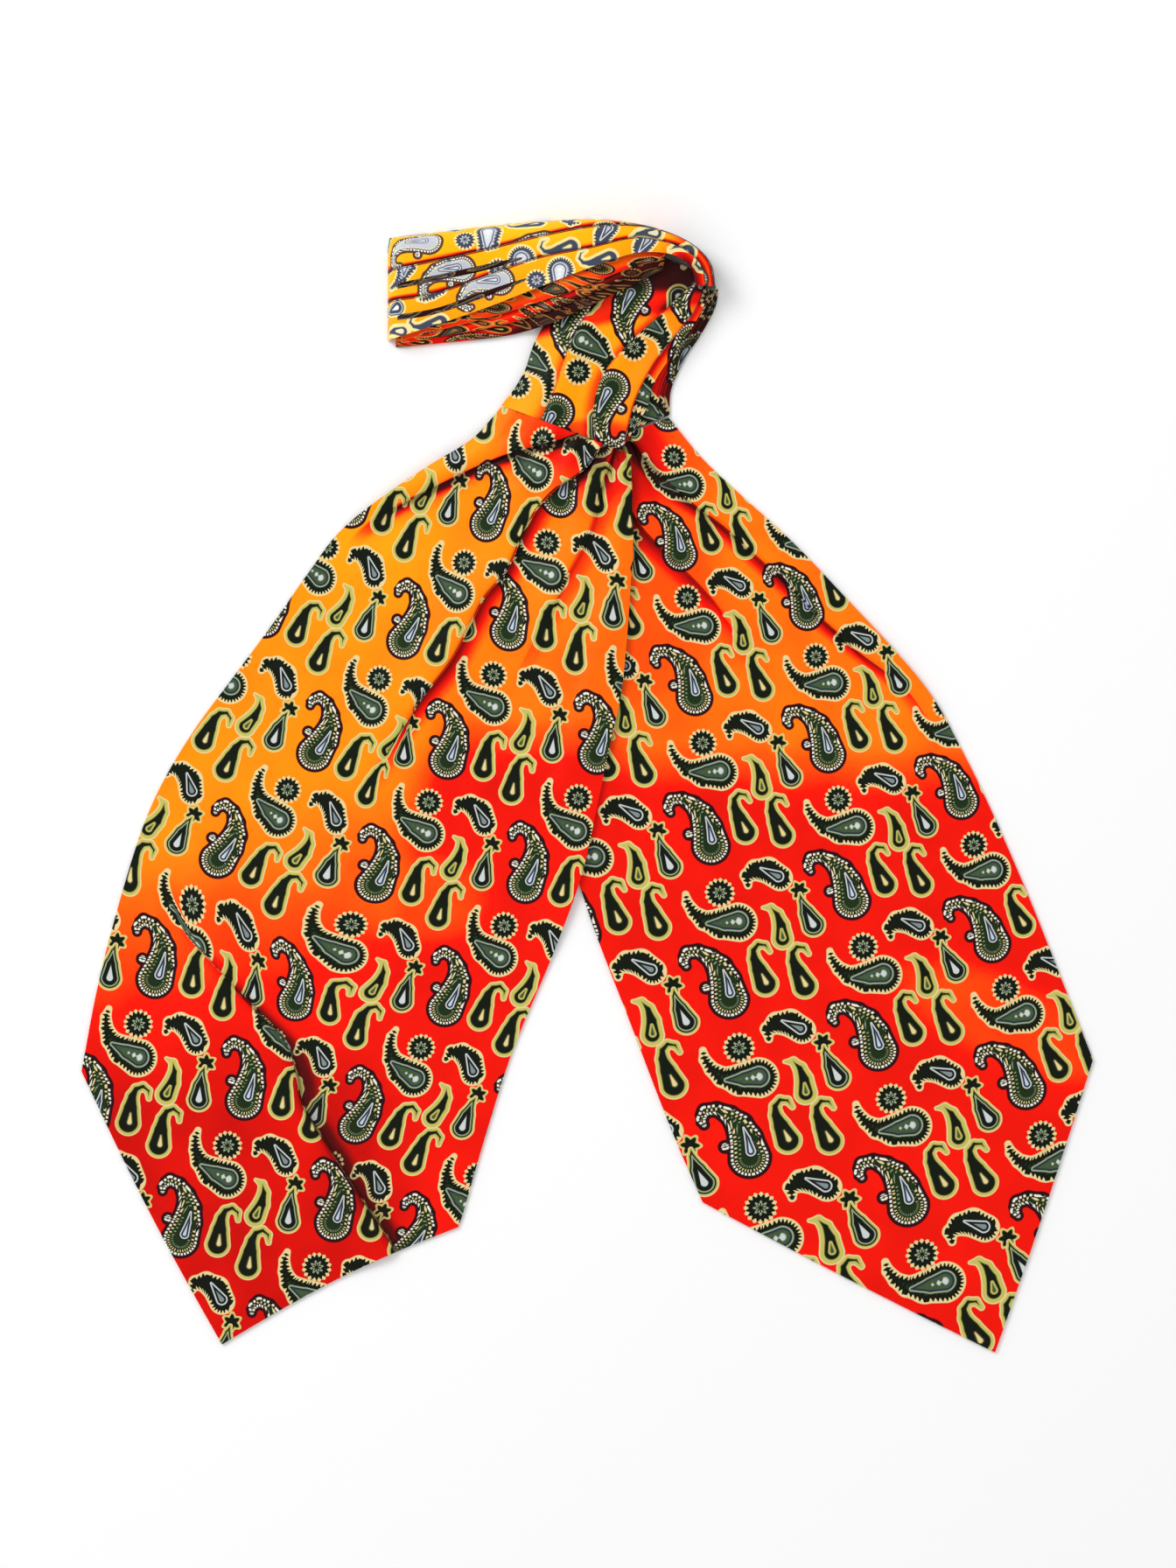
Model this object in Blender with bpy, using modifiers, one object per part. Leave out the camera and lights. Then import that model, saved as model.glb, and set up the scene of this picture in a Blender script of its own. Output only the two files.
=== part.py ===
"""A silk day cravat laid flat on a table, seen from above with +Y away from the blade tips.

Two pointed blades hang from a knife-pleated neckband. The band rises from the seam, turns over
softly at the right and lies back to the left in a fold. Every piece is a wall of cloth at real size.
All sizes below are in millimetres; the point where the band meets the blades is the drawing origin.
"""

import math

import bmesh
import bpy
import numpy as np

MM = 0.001
WALL = 1.5            # self-faced silk, two layers and their seam allowance
SEAM_GAP = 0.35       # clear space between pieces where they are sewn or lie on each other

# Each blade: where its gathered top is sewn, how far it leans from straight down (+ is to +X), which
# side is its outer one, and its tip as (along, outward). Each hem is (slope, hollow): how steeply it
# runs up from the tip, and how far its middle lies inside a straight line.
FRONT_BLADE = dict(root=(-13.2, -1.7), lean=-20.8, outer_side=-1, top=-5.0, tip=(363.0, 2.0),
                   outer_hem=(0.90, -2.0), inner_hem=(1.08, 4.0))
BACK_BLADE = dict(root=(14.9, -3.3), lean=21.3, outer_side=1, top=-8.0, tip=(365.0, 0.0),
                  outer_hem=(1.20, -1.0), inner_hem=(1.13, -1.0))

# Half widths of a blade at distances down its axis.
OUTLINE_COLUMNS = ("along", "outer", "inner")
FRONT_OUTLINE = [
    (-6, 28.5, 22.5),
    (10, 34.5, 29.0),
    (25, 46.0, 35.5),
    (40, 57.0, 40.0),
    (60, 69.0, 46.0),
    (80, 75.0, 51.5),
    (100, 80.0, 54.5),
    (125, 87.0, 58.5),
    (150, 94.0, 62.0),
    (175, 98.4, 62.5),
    (225, 97.0, 61.2),
    (255, 93.5, 63.0),
    (286, 88.0, 65.5),
]
BACK_OUTLINE = [
    (-8, 13.0, 22.0),
    (10, 19.0, 30.0),
    (30, 28.5, 41.5),
    (50, 38.5, 53.5),
    (80, 51.0, 67.5),
    (100, 59.0, 74.5),
    (125, 67.5, 80.0),
    (150, 71.0, 82.3),
    (200, 74.0, 83.0),
    (250, 74.5, 83.0),
    (275, 74.5, 82.0),
]

# Folds of a blade. Each follows a line of (along, outward) points; the cloth stands up by height on
# the high side of that line (+1 outward, -1 inward), drops to it over steep and fades over gentle.
# Columns: name, line, height, steep, gentle, high side.
FRONT_FOLDS = [
    ("shoulder_roll", [(-2, 2), (7, 15), (16, 26), (31, 41), (50, 58)], 4.5, 4.0, 16.0, 1),
    ("main_pleat", [(4, -5), (20, 1), (35, 4), (76, 8), (105, 16), (140, 25)], 3.2, 4.0, 24.0, 1),
    ("inner_pleat", [(4, -14), (25, -17), (60, -13), (90, -8)], 2.2, 5.0, 12.0, -1),
    ("edge_pleat", [(2, -20), (30, -29), (75, -35), (130, -40)], 2.0, 5.0, 12.0, -1),
    ("hem_trough", [(215, 30), (249, 13), (268, 0), (310, -40)], 3.2, 28.0, 44.0, 1),
    ("side_swell", [(195, 70), (240, 56), (275, 44)], 1.8, 18.0, 24.0, -1),
]
BACK_FOLDS = [
    ("shoulder_roll", [(2, 8), (22, 15), (43, 24), (67, 34), (88, 46), (128, 66)], 3.6, 4.5, 18.0, 1),
    ("centre_pleat", [(4, 1), (30, 0), (60, 2), (85, 7)], 2.0, 4.5, 12.0, 1),
    ("side_swell", [(140, 40), (190, 20), (240, 5)], 1.8, 20.0, 30.0, 1),
]

FOLD_STARTS = (-12.0, 8.0)     # a fold grows between these distances from its line's start
FOLD_ENDS = (-25.0, 10.0)      # and dies away between these from its end

# Small gathers that fan out of each seam and fade down the blade.
FRONT_GATHERS = dict(count=6, height=1.5, reach=42.0)
BACK_GATHERS = dict(count=5, height=1.2, reach=48.0)

# The front blade lies over the back one and comes down to the table past its hidden edge.
DRAPE = 26.0          # how far past that edge it reaches the table
DRAPE_LEVEL = 3.0     # how far past that edge it stays level
CLEARANCE_REACH = 5.0     # it clears whatever is below within this distance, in eight directions
ROOT_LIFT = 3.9       # height of its underside where it is sewn over the layers below
ROOT_REACH = 45.0     # and how far down the blade that lift has gone

# Columns on each side of the tip, and rows down the blade.
FRONT_GRID = dict(outer_columns=15, inner_columns=13, rows=52)
BACK_GRID = dict(outer_columns=10, inner_columns=11, rows=40)
ROW_CROWDING = 1.25   # over 1, rows lie closer near the seam
PART_FROM = 60.0      # below this distance the middle columns lean over to the tip

# The neckband's stretches. Each row runs across the band, from one edge to the other.
# sag: how far the middle of the row bows down the band; low: height of the underside.
STRETCH_COLUMNS = ("left_x", "left_y", "right_x", "right_y", "sag", "low")
BAND_FRONT = [
    (-38.6, 13.6, 16.5, 12.9, 16.4, 3.9),
    (-33.5, 20.3, 19.0, 22.0, 9.0, 3.9),
    (-29.5, 27.5, 25.0, 31.5, 4.5, 3.9),
    (-26.0, 37.5, 31.0, 39.5, 2.0, 4.2),
    (-19.5, 48.0, 36.0, 47.5, 1.0, 4.9),
    (-8.0, 58.5, 38.2, 53.0, 0.0, 5.8),
    (4.0, 66.0, 38.4, 58.0, 0.0, 6.2),
    (14.0, 72.5, 38.2, 62.5, 0.0, 6.4),
]
BAND_FRONT_SAG_AT = 0.82      # where across the band its seam with the blades hangs lowest
BAND_FRONT_PLEATS = (0.27, 0.60, 0.86)
BAND_FRONT_DRAPE = 0.22       # part of the width that falls to the table at the free left edge
BAND_FRONT_EDGE = 0.5         # height of that edge's underside
BAND_FRONT_GRID = dict(columns=18, rows=15)

# outer is the edge on the outside of the turn, inner the other; low as above.
TOP_COLUMNS = ("outer_x", "outer_y", "inner_x", "inner_y", "low")
BAND_TOP = [
    (-81.0, 76.5, -81.0, 38.0, 5.6),
    (-62.7, 78.6, -62.7, 43.8, 5.6),
    (-42.9, 81.0, -42.9, 50.6, 5.8),
    (-23.1, 82.8, -23.1, 58.1, 9.0),
    (-3.3, 83.4, -3.3, 65.3, 13.0),
    (13.2, 81.4, 11.6, 70.0, 13.6),
    (26.0, 77.5, 23.5, 70.0, 13.4),
    (34.8, 72.6, 29.8, 67.4, 12.6),
    (40.2, 66.4, 33.3, 63.4, 11.4),
    (41.8, 57.9, 34.6, 58.2, 10.0),
]
BAND_TOP_PLEATS = (0.36, 0.67)
BAND_TOP_ROUND = 0.15         # part of the width that curves down at the outer edge
LEFT_FOLD_ROUND = 5.5         # how far in from the left fold the band curves down
BAND_TOP_GRID = dict(columns=16, rows=30, column_crowding=1.3, row_crowding=1.15)

PLEAT_HEIGHT = 1.5

# Hidden layers: rounded slabs with a few layer edges that show on one side.
# low and high are the layered edge's underside and top. Past hump, measured in from that edge, the
# underside drops to plain_low. step: how far each lower layer shows beyond the one on it.
SLAB_COLUMNS = ("plain_x", "plain_y", "layered_x", "layered_y", "low", "high", "plain_low", "hump",
                "step")
BAND_INNER = [
    (-78.4, 72.4, -78.4, 35.6, 0.0, 2.8, 0.0, 12.0, 0.9),
    (-74.0, 74.2, -74.0, 35.8, 0.0, 5.0, 0.0, 12.0, 1.3),
    (-62.7, 75.6, -62.7, 37.0, 0.0, 5.2, 0.0, 12.0, 2.3),
    (-42.9, 77.6, -42.9, 39.0, 0.0, 5.3, 0.0, 12.0, 3.8),
    (-30.0, 78.8, -31.5, 41.0, 0.0, 6.0, 0.0, 12.0, 4.6),
    (-15.0, 79.6, -18.5, 44.8, 6.6, 10.2, 0.0, 14.0, 4.8),
    (0.0, 79.6, -6.0, 50.2, 9.5, 12.5, 0.0, 16.5, 4.5),
    (13.0, 77.4, 9.5, 57.8, 9.8, 13.0, 4.0, 15.0, 3.6),
    (24.0, 73.2, 22.0, 64.0, 9.9, 12.8, 9.0, 6.0, 1.8),
]
BAND_BACK = [
    (-8.8, -3.0, 24.7, 10.1, 0.0, 3.3, 0.0, 12.0, 2.1),
    (-19.0, 12.0, 25.5, 20.0, 0.0, 3.4, 0.0, 12.0, 2.1),
    (-21.0, 26.0, 30.5, 31.0, 0.0, 3.4, 0.0, 12.0, 2.1),
    (-17.0, 38.0, 37.0, 41.0, 0.0, 3.7, 0.0, 12.0, 2.1),
    (-9.0, 49.0, 42.0, 50.5, 0.0, 4.4, 0.0, 12.0, 1.9),
    (2.0, 58.0, 43.2, 57.4, 0.0, 5.3, 0.0, 12.0, 1.7),
]
LAYERS = 3
LAYER_NOSE = 0.6      # how far a layer's folded edge bulges
LAYER_CLEFT = 0.04    # part of a layer's thickness that the cleft beside it takes
SLAB_ROWS = 16
PLAIN_ROUND = 3.2     # how far in from the plain edge the slab rounds over
PLAIN_STEPS = 4
HUMP_SLOPE = 2.0      # how far the underside takes to drop past its hump


def clear_scene():
    for thing in list(bpy.data.objects):
        bpy.data.objects.remove(thing, do_unlink=True)


def column(table, columns, name):
    return np.array([row[columns.index(name)] for row in table], float)


def through(x, xs, ys):
    """A smooth curve through the rows of a table, held level past its ends."""
    xs = np.asarray(xs, float)
    ys = np.asarray(ys, float)
    slopes = np.gradient(ys, xs)
    x = np.clip(x, xs[0], xs[-1])
    i = np.clip(np.searchsorted(xs, x, side="right") - 1, 0, len(xs) - 2)
    span = xs[i + 1] - xs[i]
    u = (x - xs[i]) / span
    return ((2 * u**3 - 3 * u**2 + 1) * ys[i] + (u**3 - 2 * u**2 + u) * span * slopes[i]
            + (3 * u**2 - 2 * u**3) * ys[i + 1] + (u**3 - u**2) * span * slopes[i + 1])


def ease(edge0, edge1, x):
    u = np.clip((x - edge0) / (edge1 - edge0), 0.0, 1.0)
    return u * u * (3.0 - 2.0 * u)


# ---------------------------------------------------------------- blades

def blade_axes(blade):
    lean = math.radians(blade["lean"])
    down = np.array([math.sin(lean), -math.cos(lean)])
    outward = blade["outer_side"] * np.array([math.cos(lean), math.sin(lean)])
    return down, outward


def blade_to_table(blade, along, out):
    down, outward = blade_axes(blade)
    x = blade["root"][0] + along * down[0] + out * outward[0]
    y = blade["root"][1] + along * down[1] + out * outward[1]
    return x, y


def table_to_blade(blade, x, y):
    down, outward = blade_axes(blade)
    dx = x - blade["root"][0]
    dy = y - blade["root"][1]
    return dx * down[0] + dy * down[1], dx * outward[0] + dy * outward[1]


def outline(table, along):
    at = column(table, OUTLINE_COLUMNS, "along")
    outer = through(along, at, column(table, OUTLINE_COLUMNS, "outer"))
    inner = through(along, at, column(table, OUTLINE_COLUMNS, "inner"))
    return outer, inner


def fold_height(folds, along, out):
    """The height that the named folds add to the flat cloth."""
    total = np.zeros_like(along)
    for _, line, height, steep, gentle, high_side in folds:
        at, outward = zip(*line)
        crease = through(along, at, outward)
        past = (out - crease) * high_side
        rise = ease(-steep, 0.0, past) * (1.0 - ease(0.0, gentle, past))
        fade_in = ease(at[0] + FOLD_STARTS[0], at[0] + FOLD_STARTS[1], along)
        fade_out = 1.0 - ease(at[-1] + FOLD_ENDS[0], at[-1] + FOLD_ENDS[1], along)
        total = total + height * rise * fade_in * fade_out
    return total


def gather_height(gathers, outline_table, along, out):
    """Small ridges that fan out of the seam."""
    outer, inner = outline(outline_table, along)
    across = np.clip((outer - out) / (outer + inner), 0.0, 1.0)
    wave = 0.5 - 0.5 * np.cos(2.0 * math.pi * gathers["count"] * across)
    return gathers["height"] * wave * (1.0 - ease(0.0, gathers["reach"], along))


def back_blade_low(along, out):
    return (fold_height(BACK_FOLDS, along, out)
            + gather_height(BACK_GATHERS, BACK_OUTLINE, along, out))


def front_blade_low(along, out):
    """Its own folds, over the back blade's top surface where that lies below."""
    x, y = blade_to_table(FRONT_BLADE, along, out)
    back_along, back_out = table_to_blade(BACK_BLADE, x, y)
    below = back_blade_low(back_along, back_out)
    for turn in range(8):
        angle = turn * math.pi / 4.0
        near = table_to_blade(BACK_BLADE, x + CLEARANCE_REACH * math.cos(angle),
                              y + CLEARANCE_REACH * math.sin(angle))
        below = np.maximum(below, back_blade_low(*near))
    _, back_inner = outline(BACK_OUTLINE, back_along)
    inside = ease(-DRAPE, -DRAPE_LEVEL, back_out + back_inner)
    over_back = inside * (below + WALL + SEAM_GAP)
    outer, inner = outline(FRONT_OUTLINE, along)
    across = (outer - out) / (outer + inner)
    root = (ROOT_LIFT * ease(0.0, 1.6 * BAND_FRONT_DRAPE, across)
            * (1.0 - ease(0.0, ROOT_REACH, along)))
    return (np.maximum(over_back, root) + fold_height(FRONT_FOLDS, along, out)
            + gather_height(FRONT_GATHERS, FRONT_OUTLINE, along, out))


def sheet_grid(name, columns, rows):
    """A flat grid with its corners at 0 and 1, and each vertex's place on it."""
    bpy.ops.object.select_all(action="DESELECT")
    bpy.ops.mesh.primitive_grid_add(x_subdivisions=columns, y_subdivisions=rows, size=1.0,
                                    location=(0.0, 0.0, 0.0))
    sheet = bpy.context.object
    sheet.name = name
    sheet.data.name = name
    place = np.array([vertex.co for vertex in sheet.data.vertices])
    return sheet, place[:, 0] + 0.5, place[:, 1] + 0.5


def place_sheet(sheet, x, y, z):
    for vertex, px, py, pz in zip(sheet.data.vertices, x, y, z):
        vertex.co = (px * MM, py * MM, pz * MM)
    mesh = bmesh.new()
    mesh.from_mesh(sheet.data)
    bmesh.ops.recalc_face_normals(mesh, faces=mesh.faces)
    upward = sum(face.normal.z * face.calc_area() for face in mesh.faces)
    if upward < 0.0:
        bmesh.ops.reverse_faces(mesh, faces=mesh.faces)
    mesh.to_mesh(sheet.data)
    mesh.free()
    wall = sheet.modifiers.new("Wall", "SOLIDIFY")
    wall.thickness = WALL * MM
    wall.offset = 1.0
    wall.use_even_offset = False


def hem_side(distance, reach, hem):
    """How far up from the tip the hem is, at a distance to one side of it."""
    slope, hollow = hem
    return -slope * distance - hollow * np.sin(math.pi * np.clip(distance / reach, 0.0, 1.0))


def make_blade(name, blade, outline_table, grid, low):
    columns = grid["outer_columns"] + grid["inner_columns"]
    sheet, across, up = sheet_grid(name, columns, grid["rows"])
    part_at = grid["outer_columns"] / columns
    tip_along, tip_out = blade["tip"]
    corner_outer, corner_inner = outline(outline_table, tip_along)
    hem_out = np.interp(across, [0.0, part_at, 1.0], [corner_outer, tip_out, -corner_inner])
    outer_hem = hem_side(hem_out - tip_out, corner_outer - tip_out, blade["outer_hem"])
    inner_hem = hem_side(tip_out - hem_out, corner_inner + tip_out, blade["inner_hem"])
    hem = tip_along + np.where(hem_out > tip_out, outer_hem, inner_hem)
    along = blade["top"] + (1.0 - up) ** ROW_CROWDING * (hem - blade["top"])

    outer, inner = outline(outline_table, along)
    middle = outer - part_at * (outer + inner)
    middle = middle + (tip_out - middle) * ease(PART_FROM, tip_along, along)
    out = np.where(across < part_at,
                   outer + (middle - outer) * across / part_at,
                   middle - (middle + inner) * (across - part_at) / (1.0 - part_at))
    x, y = blade_to_table(blade, along, out)
    place_sheet(sheet, x, y, low(along, out))
    return sheet


# ---------------------------------------------------------------- neckband

def stretch_rows(table, columns, count):
    """The table's columns at evenly spaced rows, as smooth curves through its own rows."""
    at = np.arange(len(table))
    steps = np.linspace(0.0, len(table) - 1.0, count)
    return {name: through(steps, at, column(table, columns, name)) for name in columns}


def pleat_height(across, creases):
    """Knife pleats: each panel starts high at its crease and falls to the next one."""
    edges = (0.0,) + creases + (1.0,)
    total = np.zeros_like(across)
    for start, end in zip(edges[:-1], edges[1:]):
        here = (across >= start) & (across <= end)
        total = np.where(here, (end - across) / (end - start), total)
    return PLEAT_HEIGHT * total


def make_band_front():
    """The stretch that rises from the front blade's seam."""
    rows = BAND_FRONT_GRID["rows"]
    sheet, across, up = sheet_grid("neckband_front", BAND_FRONT_GRID["columns"], rows)
    table = stretch_rows(BAND_FRONT, STRETCH_COLUMNS, rows + 1)
    steps = np.linspace(0.0, 1.0, rows + 1)
    at = {name: np.interp(up, steps, table[name]) for name in STRETCH_COLUMNS}
    bow = np.where(across < BAND_FRONT_SAG_AT, across / BAND_FRONT_SAG_AT,
                   (1.0 - across) / (1.0 - BAND_FRONT_SAG_AT))
    x = at["left_x"] + across * (at["right_x"] - at["left_x"])
    y = at["left_y"] + across * (at["right_y"] - at["left_y"]) - at["sag"] * bow
    drape = ease(0.0, BAND_FRONT_DRAPE, across)
    low = BAND_FRONT_EDGE + (at["low"] - BAND_FRONT_EDGE) * drape
    place_sheet(sheet, x, y, low + pleat_height(across, BAND_FRONT_PLEATS))
    return sheet


def make_band_top():
    """The pleated stretch on top, with its left fold and its soft turn at the right."""
    rows = BAND_TOP_GRID["rows"]
    sheet, across, along = sheet_grid("neckband_top", BAND_TOP_GRID["columns"], rows)
    table = stretch_rows(BAND_TOP, TOP_COLUMNS, rows + 1)
    steps = np.linspace(0.0, 1.0, rows + 1)
    along = along ** BAND_TOP_GRID["row_crowding"]
    across = across ** BAND_TOP_GRID["column_crowding"]
    at = {name: np.interp(along, steps, table[name]) for name in TOP_COLUMNS}
    x = at["outer_x"] + across * (at["inner_x"] - at["outer_x"])
    y = at["outer_y"] + across * (at["inner_y"] - at["outer_y"])
    from_edge = np.clip(across / BAND_TOP_ROUND, 0.0, 1.0)
    from_fold = np.clip((x - BAND_TOP[0][0]) / LEFT_FOLD_ROUND, 0.0, 1.0)
    side = np.sqrt(1.0 - (1.0 - from_edge) ** 2)
    fold = np.sqrt(1.0 - (1.0 - from_fold) ** 2)
    z = (at["low"] + pleat_height(across, BAND_TOP_PLEATS) * side) * side * fold
    place_sheet(sheet, x, y, z)
    return sheet


def slab_section(plain, layered, row):
    """One closed section of a hidden stack: round on its plain edge, stepped on its layered one."""
    run = layered - plain
    width = float(np.hypot(*run))
    side = run / width
    low = max(0.0, row["low"])
    high = row["high"]
    plain_low = float(np.clip(row["plain_low"], 0.0, low))
    thick = (high - low) / LAYERS
    points = []
    for layer in range(LAYERS):
        edge = width - row["step"] * layer
        base = low + thick * layer
        points.append((edge - LAYER_NOSE, base + LAYER_CLEFT * thick))
        points.append((edge, base + 0.5 * thick))
        points.append((edge - LAYER_NOSE, base + (1.0 - LAYER_CLEFT) * thick))
    middle = 0.5 * (plain_low + high)
    half = 0.5 * (high - plain_low)
    for turn in range(PLAIN_STEPS + 1):
        angle = math.pi * (0.5 + turn / PLAIN_STEPS)
        points.append((PLAIN_ROUND * (1.0 + math.cos(angle)), middle + half * math.sin(angle)))
    drop = min(HUMP_SLOPE, 0.3 * row["hump"])
    points.append((width - row["hump"] - drop, plain_low))
    points.append((width - row["hump"], low))
    return [(plain[0] + side[0] * w, plain[1] + side[1] * w, z) for w, z in points]


def make_slab(name, table):
    rows = stretch_rows(table, SLAB_COLUMNS, SLAB_ROWS)
    mesh = bmesh.new()
    rings = []
    for i in range(SLAB_ROWS):
        plain = np.array([rows["plain_x"][i], rows["plain_y"][i]])
        layered = np.array([rows["layered_x"][i], rows["layered_y"][i]])
        section = slab_section(plain, layered, {name: rows[name][i] for name in SLAB_COLUMNS})
        rings.append([mesh.verts.new((x * MM, y * MM, z * MM)) for x, y, z in section])
    for ring, after in zip(rings[:-1], rings[1:]):
        for i, corner in enumerate(ring):
            j = (i + 1) % len(ring)
            mesh.faces.new((corner, ring[j], after[j], after[i]))
    mesh.faces.new(rings[0])
    mesh.faces.new(rings[-1])
    bmesh.ops.recalc_face_normals(mesh, faces=mesh.faces)
    data = bpy.data.meshes.new(name)
    mesh.to_mesh(data)
    mesh.free()
    slab = bpy.data.objects.new(name, data)
    bpy.context.scene.collection.objects.link(slab)
    return slab


# ---------------------------------------------------------------- finish and placing

def silk(name, colour):
    material = bpy.data.materials.new(name)
    material.use_nodes = True
    shader = material.node_tree.nodes["Principled BSDF"]
    shader.inputs["Base Color"].default_value = (*colour, 1.0)
    shader.inputs["Roughness"].default_value = 0.42
    shader.inputs["Metallic"].default_value = 0.0
    return material


def centre_on_table(pieces):
    """Puts the middle of the part's box over the origin, with its underside on the table."""
    bpy.context.view_layer.update()
    graph = bpy.context.evaluated_depsgraph_get()
    corners = []
    for piece in pieces:
        mesh = piece.evaluated_get(graph).to_mesh()
        corners.append(np.array([vertex.co for vertex in mesh.vertices]))
    corners = np.concatenate(corners)
    middle = 0.5 * (corners.min(axis=0) + corners.max(axis=0))
    for piece in pieces:
        piece.location = (-middle[0], -middle[1], -corners[:, 2].min())


def main():
    clear_scene()
    pieces = [
        make_blade("front_blade", FRONT_BLADE, FRONT_OUTLINE, FRONT_GRID, front_blade_low),
        make_blade("back_blade", BACK_BLADE, BACK_OUTLINE, BACK_GRID, back_blade_low),
        make_band_front(),
        make_band_top(),
        make_slab("neckband_inner", BAND_INNER),
        make_slab("neckband_back", BAND_BACK),
    ]
    colours = [(0.95, 0.30, 0.02), (0.90, 0.14, 0.02), (0.96, 0.36, 0.02),
               (0.97, 0.42, 0.03), (0.70, 0.08, 0.01), (0.75, 0.10, 0.01)]
    cravat = bpy.data.collections.new("silk_cravat")
    bpy.context.scene.collection.children.link(cravat)
    for piece, colour in zip(pieces, colours):
        piece.data.materials.append(silk(piece.name + "_silk", colour))
        for holder in list(piece.users_collection):
            holder.objects.unlink(piece)
        cravat.objects.link(piece)
    centre_on_table(pieces)


main()
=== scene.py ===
"""A printed silk day cravat, laid flat on a pale table and seen from straight above.

Sizes on the cloth are in millimetres, from the point where the neckband is sewn to the blades.
"""

import math

import bpy
import numpy as np
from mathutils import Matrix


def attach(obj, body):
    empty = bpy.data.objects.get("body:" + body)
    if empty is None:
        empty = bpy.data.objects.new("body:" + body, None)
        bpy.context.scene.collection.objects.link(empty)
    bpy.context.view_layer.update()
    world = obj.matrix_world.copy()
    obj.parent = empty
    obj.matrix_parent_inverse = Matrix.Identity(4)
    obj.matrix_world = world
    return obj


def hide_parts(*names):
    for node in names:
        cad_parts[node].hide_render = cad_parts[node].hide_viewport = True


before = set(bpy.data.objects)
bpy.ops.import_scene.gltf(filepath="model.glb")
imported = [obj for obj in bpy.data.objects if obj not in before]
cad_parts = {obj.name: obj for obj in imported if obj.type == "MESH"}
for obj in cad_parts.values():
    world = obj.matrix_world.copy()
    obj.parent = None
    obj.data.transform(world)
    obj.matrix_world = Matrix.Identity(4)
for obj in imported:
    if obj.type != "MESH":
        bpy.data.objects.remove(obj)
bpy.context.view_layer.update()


# ---------------- back blade
# The right-hand blade: silk twill cut on the bias and faced with itself, so both sides are printed and
# the edges are folds. Its gathered top is sewn into the end of the neckband, and it lies on the table.

MM = 0.001
SEAM = (6.263, 129.222)       # where the neckband meets the blades, on the table
SILK = 0.8                    # two layers of twill
WALL = 1.5                    # what the blade and its seam allowance fill when pressed together
GAP = 0.35

BACK = dict(root=(14.9, -3.3), lean=21.3, side=1, top=-8.0, tip=(365.0, 0.0),
            outer_hem=(1.20, -1.0), inner_hem=(1.13, -1.0))
# How wide the blade lies to each side of its axis: (down the blade, outer, inner).
BACK_WIDTHS = [
    (-8, 13.0, 22.0), (10, 19.0, 30.0), (30, 28.5, 41.5), (50, 38.5, 53.5), (80, 51.0, 67.5),
    (100, 59.0, 74.5), (125, 67.5, 80.0), (150, 71.0, 82.3), (200, 74.0, 83.0), (250, 74.5, 83.0),
    (275, 74.5, 82.0),
]
# Knife pleats that open out down the blade. line: (down, outward) points of the crease; over: 1 if the
# outer side lies on top, -1 if the inner one does; tuck: (down, how much cloth is folded under; below 0
# it only slopes); lift: (down, the raised side's height); fade: how far that side takes to come down;
# edge: what part of the height its edge rounds off, and how far in; and the last pair: how much deeper
# the painted shade makes the colour at and beside each raised edge, and how far it reaches.
BACK_PLEATS = [
    dict(line=[(-8, -4), (2, -1), (21, 7), (39, 18), (55, 26), (71, 34), (87, 41), (99, 48), (120, 60),
               (140, 64), (165, 65), (365, 66)],
         over=1, fade=18.0, hue=(0.60, 6.0),
         tuck=[(-8, 5.0), (40, 3.0), (90, 1.0), (120, -5.0), (365, -5.0)],
         lift=[(-8, 3.4), (60, 3.0), (100, 2.2), (125, 0.8), (145, 0.0)]),
    dict(line=[(-8, -12), (4, -13), (25, -12), (38, -7), (53, 0), (75, 8), (90, 12), (120, 15), (365, 24)],
         over=1, fade=12.0, hue=(0.42, 8.0),
         tuck=[(-8, 5.0), (40, 3.5), (70, 0.0), (85, -4.5), (365, -4.5)],
         lift=[(-8, 2.0), (50, 2.0), (75, 1.1), (100, 0.0)]),
]
# Soft rolls without a crease: (line, height, steep side, gentle side, which side is raised).
BACK_ROLLS = [
    ([(140, 40), (190, 20), (240, 5)], 1.8, 20.0, 30.0, 1),
    ([(40, -38), (80, -42), (150, -30)], 0.9, 9.0, 16.0, -1),
    ([(250, -40), (300, -20), (330, 20)], 0.8, 14.0, 24.0, 1),
]
BACK_GATHERS = dict(count=5, height=1.2, reach=48.0)
BACK_COLUMNS = (6, 30, 62)    # the grid's columns on each panel between pleats
BACK_ROWS = 210
# How the print lies: at is where one great boteh's round end lies on the table, and boteh which one that
# is, counted in steps of the repeat. The print is turned so many degrees there, and drawn out or in to
# that size; swing and growth are how both change for each 100 mm to the right and up.
def lie(at, turn, size, boteh=(0, 0), swing=(0.0, 0.0), growth=(0.0, 0.0)):
    return dict(at=at, turn=turn, size=size, boteh=boteh, swing=swing, growth=growth)


BACK_LIE = lie((93.5, -173.0), 0.5, (1.0, 1.0), swing=(4.0, 0.0), growth=(-0.04, -0.035))


def through(x, xs, ys):
    """A smooth curve through a table's rows, held level past its ends."""
    xs = np.asarray(xs, float)
    ys = np.asarray(ys, float)
    slopes = np.gradient(ys, xs)
    x = np.clip(x, xs[0], xs[-1])
    i = np.clip(np.searchsorted(xs, x, side="right") - 1, 0, len(xs) - 2)
    span = xs[i + 1] - xs[i]
    u = (x - xs[i]) / span
    return ((2 * u**3 - 3 * u**2 + 1) * ys[i] + (u**3 - 2 * u**2 + u) * span * slopes[i]
            + (3 * u**2 - 2 * u**3) * ys[i + 1] + (u**3 - u**2) * span * slopes[i + 1])


def ease(low, high, x):
    """A soft step, from 0 at low to 1 at high."""
    u = np.clip((x - low) / (high - low), 0.0, 1.0)
    return u * u * (3.0 - 2.0 * u)


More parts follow.
